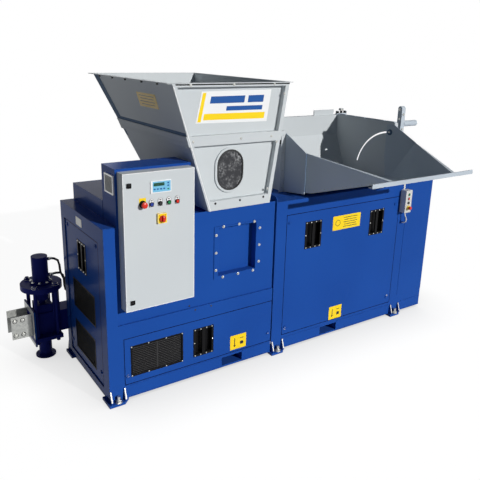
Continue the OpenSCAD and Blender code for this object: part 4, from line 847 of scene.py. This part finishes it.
def makeHopperSidePlate(plate):
    # faded plate on the hopper's left wall
    low, high = nodeBox("hopper_left")
    rimX, footX = low.x + plate["rimInset"], high.x - plate["footInset"]
    slope = mm(rimX - footX, 0, high.z - low.z).normalized()
    outward = slope.cross(yAxis).normalized()
    if outward.x > 0:
        outward = -outward
    (y0, y1), (z0, z1) = plate["y"], plate["z"]
    z = (z0 + z1) / 2
    wallX = rimX + (footX - rimX) * (high.z - z) / (high.z - low.z)
    push, ink = outward * plate["thickness"] / 1000, outward * plate["ink"] / 1000
    middle = mm(wallX, (y0 + y1) / 2, z)
    flat = {"across": -yAxis, "up": slope}
    bm = bmesh.new()
    addPlate(bm, middle, (y1 - y0, z1 - z0), plate["corner"], push, 0.3, **flat)
    for i in range(plate["lines"]):
        rise = slope * (z1 - z0) * (plate["firstLine"] - plate["lineStep"] * i) / 1000
        addPlate(bm, middle + push + rise, ((y1 - y0) * plate["lineShares"][i % 2], plate["lineHeight"]),
                 2, ink, material=1, **flat)
    finishPiece("hopperSidePlate", bm, ["ochrePlate", "inkDark"], "frame")


ratingPlate = {"centre": (0, 445, 1171), "size": (112, 56), "corner": 4, "thickness": 1.2,
               "rivetPlaces": (50, 22), "rivet": [(2.5, 0), (2.5, 0.6), (1.5, 1.2), (0, 1.4)]}


def makeRatingPlate(plate):
    # bare metal plate on the end face, with its four rivets
    bm = bmesh.new()
    middle, push = mm(*plate["centre"]), mm(-plate["thickness"], 0, 0)
    addPlate(bm, middle, plate["size"], plate["corner"], push, 0.3, across=-yAxis)
    y, z = plate["rivetPlaces"]
    for place in (mm(0, -y, -z), mm(0, -y, z), mm(0, y, -z), mm(0, y, z)):
        addLathe(bm, plate["rivet"], middle + push + place, -xAxis, 10)
    finishPiece("ratingPlate", bm, ["platePale"], "frame")


makePanelPlates(panelPlates)
makeNoticePlate(noticePlate)
makeHopperSidePlate(hopperSidePlate)
makeRatingPlate(ratingPlate)
print("plates fixed")

gripLips = {"rows": (-101, 101), "columns": (-70, -24, 24, 70), "sides": (-75, 75), "lift": 3,
            "screw": fastener((4.2, 2.2), 12, 0.65, (5, 0.4))}


def gripSpots(centre, across, outward):
    # four screws along the top, four along the foot and one in each side
    offsets = [(u, v) for v in gripLips["rows"] for u in gripLips["columns"]]
    offsets += [(u, 0) for u in gripLips["sides"]]
    return [(centre + (across * u + zAxis * v + outward * gripLips["lift"]) / 1000, outward)
            for u, v in offsets]


def makeGripScrews(screw):
    setFasteners("leftGripScrews", gripSpots(mm(721, 0, 286), xAxis, -yAxis), screw, "left_cover")
    setFasteners("rightGripScrews", gripSpots(mm(1709, 0, 937), xAxis, -yAxis)
                 + gripSpots(mm(2411, 0, 937), xAxis, -yAxis), screw, "right_cover")
    setFasteners("endGripScrews", gripSpots(mm(6, 435, 920), -yAxis, -xAxis), screw, "end_cover")


leftTrim = {"x": (157, 554), "z": (170, 398), "width": 12, "height": 2, "screwInset": (7, 6),
            "shadeSheetInset": 4, "shadeSheetY": 9, "shadeSheetThickness": 1}


def makeLeftTrim(trim):
    (x0, x1), (z0, z1) = trim["x"], trim["z"]
    bm = bmesh.new()
    addFrame(bm, (x0, z0), (x1, z1), 0, trim["height"], trim["width"])
    finishPiece("leftGrilleTrim", bm, ["gripBlack"], "left_cover")
    insetX, insetZ = trim["screwInset"]
    places = [(x, z) for z in (z0 + insetZ, z1 - insetZ)
              for x in (x0 + insetX, (2 * x0 + x1) / 3, (x0 + 2 * x1) / 3, x1 - insetX)]
    setFasteners("leftGrilleScrews", frontSpots(places, -trim["height"]), gripLips["screw"],
                 "left_cover")
    # painted shade: a black sheet behind the grille darkens what shows through it
    inset = trim["shadeSheetInset"]
    bm = bmesh.new()
    addStrip(bm, (x0 + inset, x1 - inset), (z0 + inset, z1 - inset), trim["shadeSheetY"],
             trim["shadeSheetThickness"], 0.3)
    finishPiece("leftGrillePaintedShade", bm, ["gripBlack"], "left_cover")


endMesh = {"fields": [((225, 485), (648, 700)), ((250, 150), (645, 370))], "pitch": 9, "wire": 1,
           "x": 8.5, "weave": 0.6, "border": 6, "trimX": 6, "trimOut": 1.4, "trimWidth": 10}


def makeEndMesh(mesh):
    # fine woven wire in front of the coarse bars
    near, far, pitch, border = mesh["x"], mesh["x"] + mesh["weave"], mesh["pitch"], mesh["border"]
    lines = []
    bm = bmesh.new()
    for (y0, z0), (y1, z1) in mesh["fields"]:
        lines += [[mm(near, y0 + i * pitch, z) for z in (z0, z1)]
                  for i in range(1, int((y1 - y0) / pitch))]
        lines += [[mm(far, y, z0 + i * pitch) for y in (y0, y1)]
                  for i in range(1, int((z1 - z0) / pitch))]
        addFrame(bm, (y0 - border, z0 - border), (y1 + border, z1 + border), mesh["trimX"],
                 mesh["trimOut"], mesh["trimWidth"], 1)
    growAlong("endWireMesh", wireTree, lines, wires(mesh["wire"], 5, "gripBlack"), "end_cover")
    finishPiece("endMeshTrim", bm, ["gripBlack"], "end_cover")


makeGripScrews(gripLips["screw"])
makeLeftTrim(leftTrim)
makeEndMesh(endMesh)
print("grips and grilles dressed")

coverBolts = {"x": (881, 1012, 1144), "z": (746, 1122.5), "sideX": (822, 1194),
              "sideZ": (807, 937, 1067), "depth": 6, "bolt": fastener((7.7, 5.4), 6, 0.9, (10.5, 1.4))}


def makeCoverBolts(bolts):
    y = nodeBox("access_cover")[0].y + bolts["depth"]
    places = [(x, z) for x in bolts["x"] for z in bolts["z"]]
    places += [(x, z) for z in bolts["sideZ"] for x in bolts["sideX"]]
    setFasteners("coverBolts", frontSpots(places, y), bolts["bolt"], "frame")


panelSeams = {"width": 5, "height": 0.3,
              "openings": {"leftPanelSeam": ((115, 124), (1328, 458), 0),
                           "rightPanelSeam": ((1443, 141), (2674, 1124), 0),
                           "endPanelSeam": ((106, 88), (760, 1119), 1)}}


def makeSeams(seams):
    # dark joints round the lift-off panels, on the sheets that frame them
    width = seams["width"]
    for name, ((a0, z0), (a1, z1), axis) in seams["openings"].items():
        bm = bmesh.new()
        addFrame(bm, (a0 - width, z0 - width), (a1 + width, z1 + width), 0, seams["height"], width, axis)
        finishPiece(name, bm, ["seamDark"], "frame")


railLips = {"runs": ((150, 878), (1064, 1322), (1484, 1846), (2032, 2672), (2834, 3092)),
            "tops": (28, 112), "width": 7, "out": 3}


def makeRailLips(lips):
    # folded lips along the front of both base rails
    bm = bmesh.new()
    for run in lips["runs"]:
        for top in lips["tops"]:
            addStrip(bm, run, (top - lips["width"], top), 0, lips["out"], 1.2)
    finishPiece("railLips", bm, ["bluePaint"], "frame")


footFittings = {"feet": (-15, 1325, 2675), "gussetOffsets": (15, 115), "gussetWidth": 10,
                "gussetFoot": (-30.5, 34), "gussetTop": (-6.5, 105), "gussetPush": (0, -1.2, 0.4),
                "nutOffset": 69.75, "nutZ": 20, "frontNutY": -18, "rearNutY": (854, 1018, 1018),
                "nut": fastener((21, 16), 6, 0.94, (25, 3))}


def makeFootFittings(feet):
    # pale metal strips on the gussets' front edges as painted highlight, with a washer and nut on every
    # levelling screw
    width = feet["gussetWidth"]
    (y0, z0), (y1, z1) = feet["gussetFoot"], feet["gussetTop"]
    bm = bmesh.new()
    for footX in feet["feet"]:
        for x in (footX + offset for offset in feet["gussetOffsets"]):
            addSlab(bm, [mm(x, y0, z0), mm(x + width, y0, z0), mm(x + width, y1, z1), mm(x, y1, z1)],
                    mm(*feet["gussetPush"]), 0.3)
    finishPiece("gussetEdgeHighlights", bm, ["zincSteel"], "frame")
    spots = [(mm(footX + feet["nutOffset"], y, feet["nutZ"]), zAxis)
             for rows in ([feet["frontNutY"]] * 3, feet["rearNutY"])
             for footX, y in zip(feet["feet"], rows)]
    setFasteners("levellingNuts", spots, feet["nut"], "frame")


panelPlugs = {"left": [(136, 183), (1301, 191)], "right": [(1471, 190), (2634, 205)],
              "plug": fastener((10.5, 3), 20, 0.7, (12.5, 1)),
              "ledge": [(652, 546), (782, 547)], "step": [(611, 581)], "stepY": 12,
              "ledgePlug": fastener((5.5, 1.2), 16, 0.8, (7, 0.8), "blackPlastic")}


def makePanelPlugs(plugs):
    setFasteners("leftPanelPlugs", frontSpots(plugs["left"]), plugs["plug"], "left_cover")
    setFasteners("rightPanelPlugs", frontSpots(plugs["right"]), plugs["plug"], "right_cover")
    setFasteners("ledgePlugs", frontSpots(plugs["ledge"]) + frontSpots(plugs["step"], plugs["stepY"]),
                 plugs["ledgePlug"], "frame")


makeCoverBolts(coverBolts)
makeSeams(panelSeams)
makeRailLips(railLips)
makeFootFittings(footFittings)
makePanelPlugs(panelPlugs)

clampFittings = {
    "centre": (-160, 913), "flangeBolts": 8, "flangeRadius": 70, "flangeLift": 14,
    "flangeBolt": fastener((9, 8), 6, 0.88, (11.5, 1.6)),
    "rodX": (-235, -85), "rodY": (808, 1018), "rodTop": 600,
    "rodNut": fastener((21.5, 12), 6, 0.95, (24, 1.6)),
    "guideX": (-385, -330), "guideZ": (245, 360), "guideY": ((840, -yAxis), (986, yAxis)),
    "guideBolt": fastener((10.6, 7.5), 6, 0.9, (13.5, 1.8)),
    "guideWasher": fastener((12, 0.4), 6, 0.9, (17.5, 0.8), "gripBlack"),
    "gland": [(36, 470), (50, 470), (50, 530), (56, 535), (56, 560), (36, 560)],
    "pipes": {(-62, 838): (562, 520, 420, 320, 236), (-100, 832): (562, 480, 400, 330)},
    "pipeRadius": 9,
    "outletX": (-262, -250), "outletY": (784, 1042), "outletZ": (149, 426), "outletFront": 780,
    "outletRim": 40,
    "hosePorts": [(-93, 913, 775), (-93, 913, 650)],
    "hoseEnd": [(11.5, 0), (13.5, 1), (13.5, 11), (11.5, 12), (10.5, 14), (11.2, 16), (10.5, 18),
                (11.2, 20), (10.5, 22), (10.2, 26), (9.4, 27)],
}


def makeClampBolts(clamp):
    # bolts on the cylinder's flange, nuts on the tie rods, bolts and washers on the guide plates
    x, y = clamp["centre"]
    flangeZ = nodeBox("clamp_cylinder")[0].z + clamp["flangeLift"]
    count, radius = clamp["flangeBolts"], clamp["flangeRadius"]
    angles = [math.pi * (2 * k + 1) / count for k in range(count)]
    spots = [(mm(x + radius * math.cos(t), y + radius * math.sin(t), flangeZ), zAxis) for t in angles]
    setFasteners("flangeBolts", spots, clamp["flangeBolt"], "frame")
    spots = [(mm(rodX, rodY, clamp["rodTop"]), zAxis) for rodX in clamp["rodX"] for rodY in clamp["rodY"]]
    setFasteners("tieRodNuts", spots, clamp["rodNut"], "frame")
    spots = [(mm(guideX, guideY, z), way) for guideX in clamp["guideX"] for z in clamp["guideZ"]
             for guideY, way in clamp["guideY"]]
    setFasteners("guideBolts", spots, clamp["guideBolt"], "frame")
    setFasteners("guideWashers", spots, clamp["guideWasher"], "frame")


def makeClampTrim(clamp):
    # gland under the cylinder, its pipes, the outlet's edge and bare face, the hoses' crimped ends
    bm = bmesh.new()
    addLathe(bm, clamp["gland"], mm(*clamp["centre"], 0), zAxis)
    finishPiece("clampGland", bm, ["darkBluePaint"], "frame")
    lines = [[mm(*place, z) for z in heights] for place, heights in clamp["pipes"].items()]
    growAlong("clampPipes", wireTree, lines, wires(clamp["pipeRadius"], 14, "darkBluePaint"), "frame")
    bm = bmesh.new()
    addStrip(bm, clamp["outletX"], clamp["outletZ"], clamp["outletFront"], 0.8, 0.2)
    finishPiece("outletEdge", bm, ["bluePaint"], "frame")
    bm = bmesh.new()
    corners = list(zip(clamp["outletY"], clamp["outletZ"]))
    addFrame(bm, *corners, clamp["outletX"][0], 1.5, clamp["outletRim"], 1)
    finishPiece("outletFace", bm, ["galvanisedSteel"], "frame")
    bm = bmesh.new()
    for port in clamp["hosePorts"]:
        addLathe(bm, clamp["hoseEnd"], mm(*port), xAxis, 24)
    finishPiece("hoseEnds", bm, ["zincSteel"], "frame")


makeClampBolts(clampFittings)
makeClampTrim(clampFittings)
print("clamp dressed")

# a patch is: low corner, high corner, how far forward its back lies, thickness, corner radius
displayFace = {
    "membrane": ((303, 1452), (427, 1519), 0, 0.5, 3),
    "screen": ((309, 1490), (384, 1511), 0.5, 0.3, 1),
    "keys": [(316, 1471), (338, 1471), (360, 1471), (382, 1471), (410, 1505), (410, 1488), (410, 1466)],
    "keySize": (13, 9), "marks": 7, "firstMark": (317, 1498), "markPitch": 9, "markSize": 5,
}


def makeDisplayFace(face):
    y = nodeBox("display")[0].y
    bm = bmesh.new()

    def addPatch(low, high, lift, thick, radius, material):
        middle = mm((low[0] + high[0]) / 2, y - lift, (low[1] + high[1]) / 2)
        addPlate(bm, middle, (high[0] - low[0], high[1] - low[1]), radius, mm(0, -thick, 0), 0.1,
                 material)

    addPatch(*face["membrane"], 0)
    addPatch(*face["screen"], 1)
    w, h = face["keySize"]
    for x, z in face["keys"]:
        last = (x, z) == face["keys"][-1]  # the last key is the green one
        addPatch((x - w / 2, z - h / 2), (x + w / 2, z + h / 2), 0.5, 0.5, 2, 3 if last else 2)
    firstX, foot = face["firstMark"]
    size = face["markSize"]
    for i in range(face["marks"]):
        x = firstX + i * face["markPitch"]
        addPatch((x, foot), (x + size, foot + size), 0.8, 0.1, 0.5, 4)
    finishPiece("displayFace", bm, ["membraneBlue", "screenGreen", "inkBlue", "greenPlastic", "inkDark"],
                "door")


legendLook = {
    "faceY": -70, "holders": (296, 356, 416, 476), "buttonZ": 1378,
    # an arch is: foot, top, half width, thickness
    "backArch": (1360, 1412, 16.5, 2.6), "frontArch": (1363, 1410.5, 14, 0.9),
    "legendZ": 1401, "legendSize": (13, 6),
    "collar": [(10.8, 0), (14.2, 0), (14.2, 5.2), (13.2, 6.4), (10.8, 6.4), (10.8, 0)],
    "stop": (236, 1384), "labelSize": (46, 52), "labelRise": 14, "labelThickness": 1.2,
    "stopRing": [(9.8, 0), (24, 0), (24, 8), (19, 11), (16.5, 16), (9.8, 16), (9.8, 0)],
    "switch": (364, 1280), "switchSize": (64, 66), "switchDepth": 15,
}


def addArch(bm, x, y, shape, material):
    # an upright plate with a half-round top
    low, top, half, thick = shape
    points = [mm(x + half * math.cos(math.pi * k / 16), y, top - half + half * math.sin(math.pi * k / 16))
              for k in range(17)]
    points += [mm(x - half, y, low), mm(x + half, y, low)]
    addSlab(bm, points, mm(0, -thick, 0), 0.4, material)


def makeLegendPlates(look):
    # holders of the four buttons, the stop button's label and the black ring under it, and the main
    # switch's plate
    face = look["faceY"]
    middle = face - look["backArch"][3]
    front = middle - look["frontArch"][3]
    bm = bmesh.new()
    for x in look["holders"]:
        addArch(bm, x, face, look["backArch"], 2)
        addArch(bm, x, middle, look["frontArch"], 0)
        addPlate(bm, mm(x, front, look["legendZ"]), look["legendSize"], 2, mm(0, -0.2, 0), material=2)
        addLathe(bm, look["collar"], mm(x, front, look["buttonZ"]), -yAxis, 28, 2)
    x, z = look["stop"]
    thick = look["labelThickness"]
    addPlate(bm, mm(x, face, z + look["labelRise"]), look["labelSize"], 4, mm(0, -thick, 0), 0.3, 1)
    addLathe(bm, look["stopRing"], mm(x, face - thick, z), -yAxis, 32, 2)
    x, z = look["switch"]
    addPlate(bm, mm(x, face, z), look["switchSize"], 4, mm(0, -look["switchDepth"], 0), 1.8, 1)
    piece = finishPiece("legendPlates", bm, ["signWhite", "yellowPlastic", "gripBlack"], "door")
    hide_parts("legend_plates")


doorTrim = {"locks": [(148, -75, 1510), (153, -75, 744)], "lockSize": (31.5, 31.5),
            "lockCore": [(8, 0), (8, 1.2), (6.5, 1.8), (0, 1.8)], "slotSize": (11, 2.2),
            "doorShineInset": 0.5, "doorShineRight": 600, "doorShineY": -70, "doorShineOut": 0.9, "doorShineWidth": 4,
            "markRadius": 27.5, "markSize": (5, 5), "pointer": (364, -109, 1295),
            "pointerSize": (3, 8)}


def makeDoorTrim(trim, look):
    # inserts in the square locks, a white strip round the front as painted highlight on the door's edges,
    # the switch's marks and pointer
    bm = bmesh.new()
    for place in trim["locks"]:
        middle = mm(*place)
        addPlate(bm, middle, trim["lockSize"], 4, mm(0, -0.6, 0), 0.2)
        addLathe(bm, trim["lockCore"], middle, -yAxis, 24)
        addPlate(bm, middle - mm(0, trim["lockCore"][-1][1], 0), trim["slotSize"], 1, mm(0, -0.5, 0),
                 material=1)
    finishPiece("doorLocks", bm, ["gripBlack", "blackPlastic"], "door")
    low, high = nodeBox("cabinet_door")
    # painted highlight: a white strip round the door's front edges
    inset = trim["doorShineInset"]
    bm = bmesh.new()
    addFrame(bm, (low.x + inset, low.z + inset), (trim["doorShineRight"], high.z - inset), trim["doorShineY"],
             trim["doorShineOut"], trim["doorShineWidth"])
    finishPiece("doorEdgePaintedHighlight", bm, ["signWhite"], "door")
    x, z = look["switch"]
    bm = bmesh.new()
    for k in range(4):
        angle = math.radians(45 + 90 * k)
        place = mm(x + trim["markRadius"] * math.cos(angle), look["faceY"] - look["switchDepth"],
                   z + trim["markRadius"] * math.sin(angle))
        addPlate(bm, place, trim["markSize"], 1.5, mm(0, -0.2, 0))
    finishPiece("switchMarks", bm, ["inkDark"], "door")
    bm = bmesh.new()
    addPlate(bm, mm(*trim["pointer"]), trim["pointerSize"], 1, mm(0, -0.3, 0))
    finishPiece("switchPointer", bm, ["whitePlastic"], "switch")


makeDisplayFace(displayFace)
makeLegendPlates(legendLook)
makeDoorTrim(doorTrim, legendLook)
print("cabinet dressed")

filterMesh = {"gaps": 26, "side": 12, "end": 11, "depth": 0.8, "wire": 0.8}


def makeFilterMesh(mesh):
    # upright wires over the filter on the hood
    low, high = nodeBox("vent_filter")
    x, side, end = low.x + mesh["depth"], mesh["side"], mesh["end"]
    step = (high.y - low.y - 2 * side) / mesh["gaps"]
    lines = [[mm(x, low.y + side + i * step, z) for z in (low.z + end, high.z - end)]
             for i in range(1, mesh["gaps"])]
    growAlong("filterMesh", wireTree, lines, wires(mesh["wire"], 5, "greyPlastic"), "frame")


def rivets(spacing, radius, height, facing):
    return {"Spacing": spacing / 1000, "Head radius": radius / 1000, "Head height": height / 1000,
            "Top share": 0.6, "Facing": facing, "Material": "zincSteel"}


flapWings = {"knee": (1658, 0, 1276), "lip": (1886.5, -610, 1460), "top": (1596, 0, 1584),
             "ends": ((0.04, 14), (0.9, 6)),  # share of the way to the lip, and rise above it
             "mirror": 4400, "lift": 0.4, "rivet": (30, 3.5, 2.4)}


def makeFlapRivets(wings):
    # a row along the foot of each wing, from the knee to the lip
    knee, lip, top = (Vector(wings[key]) for key in ("knee", "lip", "top"))
    outward = (knee - top).cross(lip - top).normalized()
    if outward.x > 0:
        outward = -outward
    up = (top - knee).normalized()
    ends = [knee + (lip - knee) * share + up * rise for share, rise in wings["ends"]]
    for name, turn, shift in (("leftWingRivets", 1, 0), ("rightWingRivets", -1, wings["mirror"])):
        way = Vector((outward.x * turn, outward.y, outward.z))
        line = [mm(shift + turn * p.x, p.y, p.z) + way * wings["lift"] / 1000 for p in ends]
        growAlong(name, rowTree, [line], rivets(*wings["rivet"], way), "flap")


chuteFittings = {
    "boltInset": 16, "boltY": (420, 620, 820), "bolt": fastener((5, 3), 6, 0.85, (7.5, 1)),
    "caps": [(1596, xAxis), (2804, -xAxis)], "capPlace": (294.5, 1634.4), "capHeight": 11,
    "dome": [(27, 0), (27, 3.85), (23.22, 8.25), (16.2, 10.67), (0, 11)],
    "capNut": [(7.5, 0), (7.5, 3), (0, 4.2)],
    "cornerX": (1590.5, 2803.5), "cornerWidth": 6, "cornerZ": (1290, 1582), "cornerY": -0.6,
    "railX": (2814, 2842), "railY": (262, 978), "railZ": (1720, 1729), "railSegments": 6, "railGap": 14,
    "flangeRivets": [(1570, 249.5, 1275), (1570, 249.5, 1690)], "flangeRivet": (60, 4, 2.6),
}


def makeChuteBolts(look):
    low, high = nodeBox("chute_sides")
    inset = look["boltInset"]
    spots = [(mm(x, y, high.z), zAxis) for x in (low.x + inset, high.x - inset) for y in look["boltY"]]
    setFasteners("chuteBolts", spots, look["bolt"], "frame")


def makeKnobCaps(look):
    # domed cap with its nut over each knob, on the inner faces of the flap's side plates
    bm = bmesh.new()
    for x, way in look["caps"]:
        place = mm(x, *look["capPlace"])
        addLathe(bm, look["dome"], place, way, 36)
        addLathe(bm, look["capNut"], place + way * look["capHeight"] / 1000, way, 20, 1)
    finishPiece("flapKnobCaps", bm, ["slateGrey", "zincSteel"], "flap")


def makeChuteStrips(look):
    # slate strips on the flap's front corners, and a slotted strip on the right wall's top
    bm = bmesh.new()
    for x in look["cornerX"]:
        addStrip(bm, (x, x + look["cornerWidth"]), look["cornerZ"], look["cornerY"], 0.8, 0.2)
    finishPiece("flapCornerStrips", bm, ["slateGrey"], "flap")
    (x0, x1), (y0, y1), (z0, z1) = (look[key] for key in ("railX", "railY", "railZ"))
    count, gap = look["railSegments"], look["railGap"]
    length = (y1 - y0 - gap * (count - 1)) / count
    bm = bmesh.new()
    for low in (y0 + i * (length + gap) for i in range(count)):
        high = low + length
        addSlab(bm, [mm(x0, low, z0), mm(x1, low, z0), mm(x1, high, z0), mm(x0, high, z0)],
                mm(0, 0, z1 - z0), 1.2)
    finishPiece("chuteTopStrip", bm, ["flapPaint"], "frame")


cornerLatch = {"centre": (2862, 990), "footZ": 1720, "baseSize": (130, 28), "baseHeight": 12,
               "postReach": 50, "postSize": (26, 26), "postHeight": 22,
               "stem": [(13, 0), (13, 16), (9, 20), (9, 26)], "knobZ": 1757, "knobHeight": 20,
               "knobRadius": 21, "lobes": 5, "lobeDepth": 4, "knobSides": 60}


def makeCornerLatch(latch):
    # star knob on its bracket, at the chute's rear right corner
    x, y = latch["centre"]
    flat = {"across": xAxis, "up": yAxis}
    postZ = latch["footZ"] + latch["baseHeight"]
    bm = bmesh.new()
    addPlate(bm, mm(x, y, latch["footZ"]), latch["baseSize"], 6, mm(0, 0, latch["baseHeight"]), 2, **flat)
    for reach in (-latch["postReach"], latch["postReach"]):
        addPlate(bm, mm(x + reach, y, postZ), latch["postSize"], 6, mm(0, 0, latch["postHeight"]), 4, 1,
                 **flat)
    addLathe(bm, latch["stem"], mm(x, y, postZ), zAxis, 24, 1)
    star = []
    for t in (2 * math.pi * k / latch["knobSides"] for k in range(latch["knobSides"])):
        radius = latch["knobRadius"] + latch["lobeDepth"] * math.cos(latch["lobes"] * t)
        star.append(mm(x + radius * math.cos(t), y + radius * math.sin(t), latch["knobZ"]))
    addSlab(bm, star, mm(0, 0, latch["knobHeight"]), 4, 2)
    finishPiece("cornerLatch", bm, ["flapPaint", "gripBlack", "greyPlastic"], "frame")


leverTrim = {"headX": 2885, "headY": 273, "headZ": 1839.5, "headRadius": 23, "headWidth": 45,
             "sideBolts": [(276, 1831), (270, 1752)], "frontBolts": [(2907, 1790), (2907, 1660)],
             "frontY": 250, "bolt": fastener((8.5, 6), 6, 0.9, (11.5, 1.5))}


def makeLeverTrim(lever):
    # rounded head of the lever, and its bolts
    x, radius = lever["headX"], lever["headRadius"]
    arc = [mm(x, lever["headY"] + radius * math.cos(t), lever["headZ"] + radius * math.sin(t))
           for t in (math.pi * k / 16 for k in range(17))]
    bm = bmesh.new()
    addSlab(bm, arc, mm(lever["headWidth"], 0, 0), 2)
    finishPiece("leverHead", bm, ["flapPaint"], "flap")
    setFasteners("leverBolts", [(mm(x, y, z), -xAxis) for y, z in lever["sideBolts"]]
                 + frontSpots(lever["frontBolts"], lever["frontY"]), lever["bolt"], "flap")


pendantTrim = {"x": 2722, "y": -61, "buttons": (1150, 1113, 1076), "labelX": 2746,
               "labelSize": (16, 12), "stopZ": 1035,
               "collar": [(9.8, 0), (12.8, 0), (12.8, 2.2), (11.8, 3), (9.8, 3), (9.8, 0)],
               "stopCollar": [(6.6, 0), (18.4, 0), (18.4, 11), (17.2, 12.4), (6.6, 12.4), (6.6, 0)]}


def makePendantTrim(pendant):
    # a collar and a blank label at each button, and the stop button's yellow collar
    x, y = pendant["x"], pendant["y"]
    bm = bmesh.new()
    for z in pendant["buttons"]:
        addLathe(bm, pendant["collar"], mm(x, y, z), -yAxis, 24)
        addPlate(bm, mm(pendant["labelX"], y, z), pendant["labelSize"], 2, mm(0, -0.5, 0), material=1)
    finishPiece("pendantCollars", bm, ["blackPlastic", "whitePlastic"], "frame")
    bm = bmesh.new()
    addLathe(bm, pendant["stopCollar"], mm(x, y, pendant["stopZ"]), -yAxis)
    finishPiece("pendantStopCollar", bm, ["yellowPlastic"], "frame")


makeFilterMesh(filterMesh)
makeFlapRivets(flapWings)
makeChuteBolts(chuteFittings)
makeKnobCaps(chuteFittings)
makeChuteStrips(chuteFittings)
makeCornerLatch(cornerLatch)
makeLeverTrim(leverTrim)
growAlong("chuteFlangeRivets", rowTree, [[mm(*place) for place in chuteFittings["flangeRivets"]]],
          rivets(*chuteFittings["flangeRivet"], -yAxis), "frame")
makePendantTrim(pendantTrim)
print("flap, chute and pendant dressed")

stageLook = {"floorSize": 40, "floorTone": 0.76, "seenTone": 0.12, "floorGlow": 0.95, "shadeReach": 0.5,
             "shadeShare": 0.42, "skyTop": 0.06, "skyFoot": 0.08, "skyColour": (0.80, 0.94, 1.16, 1),
             "sunStrength": 3.1, "sunWay": (-0.35, 1.0, -0.42), "sunAngle": 0.7,
             "sunColour": (1.0, 0.985, 0.96)}


def seenDirectly(tree):
    # 1 for rays from the camera, from a reflection or through glass
    path = addNode(tree, "ShaderNodeLightPath").outputs
    direct = maths(tree, "ADD", path["Is Camera Ray"], path["Is Glossy Ray"])
    return maths(tree, "ADD", direct, path["Is Transmission Ray"], clamp=True)


def makeFloor(look):
    size = look["floorSize"] / 2
    mesh = bpy.data.meshes.new("floor")
    mesh.from_pydata([(-size, -size, 0), (size, -size, 0), (size, size, 0), (-size, size, 0)], [],
                     [(0, 1, 2, 3)])
    material, tree, shader, _ = newMaterial("floorPale")
    tones = [(look[key],) * 3 + (1,) for key in ("floorTone", "seenTone")]
    setInput(tree, shader["Base Color"], blendColour(tree, seenDirectly(tree), *tones))
    shader["Roughness"].default_value = 0.9
    shader["Specular IOR Level"].default_value = 0.0
    near = addNode(tree, "ShaderNodeAmbientOcclusion", {"Distance": look["shadeReach"]}, samples=16)
    shade = spread(tree, near.outputs["AO"], 0.0, 1.0, 1 - look["shadeShare"], 1.0)  # darker by the base
    glow = maths(tree, "MULTIPLY", seenDirectly(tree), maths(tree, "MULTIPLY", shade, look["floorGlow"]))
    shader["Emission Color"].default_value = (1, 1, 1, 1)
    setInput(tree, shader["Emission Strength"], glow)
    mesh.materials.append(material)
    floor = bpy.data.objects.new("floor", mesh)
    floor.location.z = -0.0005
    scene.collection.objects.link(floor)


def makeSky(look):
    world = bpy.data.worlds.new("world")
    world.use_nodes = True
    scene.world = world
    tree = world.node_tree
    background = tree.nodes["Background"].inputs
    place = addNode(tree, "ShaderNodeTexCoord").outputs["Generated"]
    height = addNode(tree, "ShaderNodeSeparateXYZ", {0: place}).outputs["Z"]
    sky = spread(tree, height, -0.2, 0.8, look["skyFoot"], look["skyTop"])
    seen = seenDirectly(tree)
    strength = addNode(tree, "ShaderNodeMix", {0: seen, 2: sky, 3: 1.0}, data_type="FLOAT").outputs[0]
    setInput(tree, background["Color"], blendColour(tree, seen, look["skyColour"], (1, 1, 1, 1)))
    setInput(tree, background["Strength"], strength)


def makeSun(look):
    data = bpy.data.lights.new("sun", "SUN")
    data.energy = look["sunStrength"]
    data.angle = math.radians(look["sunAngle"])
    data.color = look["sunColour"]
    sun = bpy.data.objects.new("sun", data)
    sun.rotation_euler = Vector(look["sunWay"]).to_track_quat("-Z", "Y").to_euler()
    scene.collection.objects.link(sun)


makeFloor(stageLook)
makeSky(stageLook)
makeSun(stageLook)
scene.view_settings.view_transform = "Standard"
print("stage set")
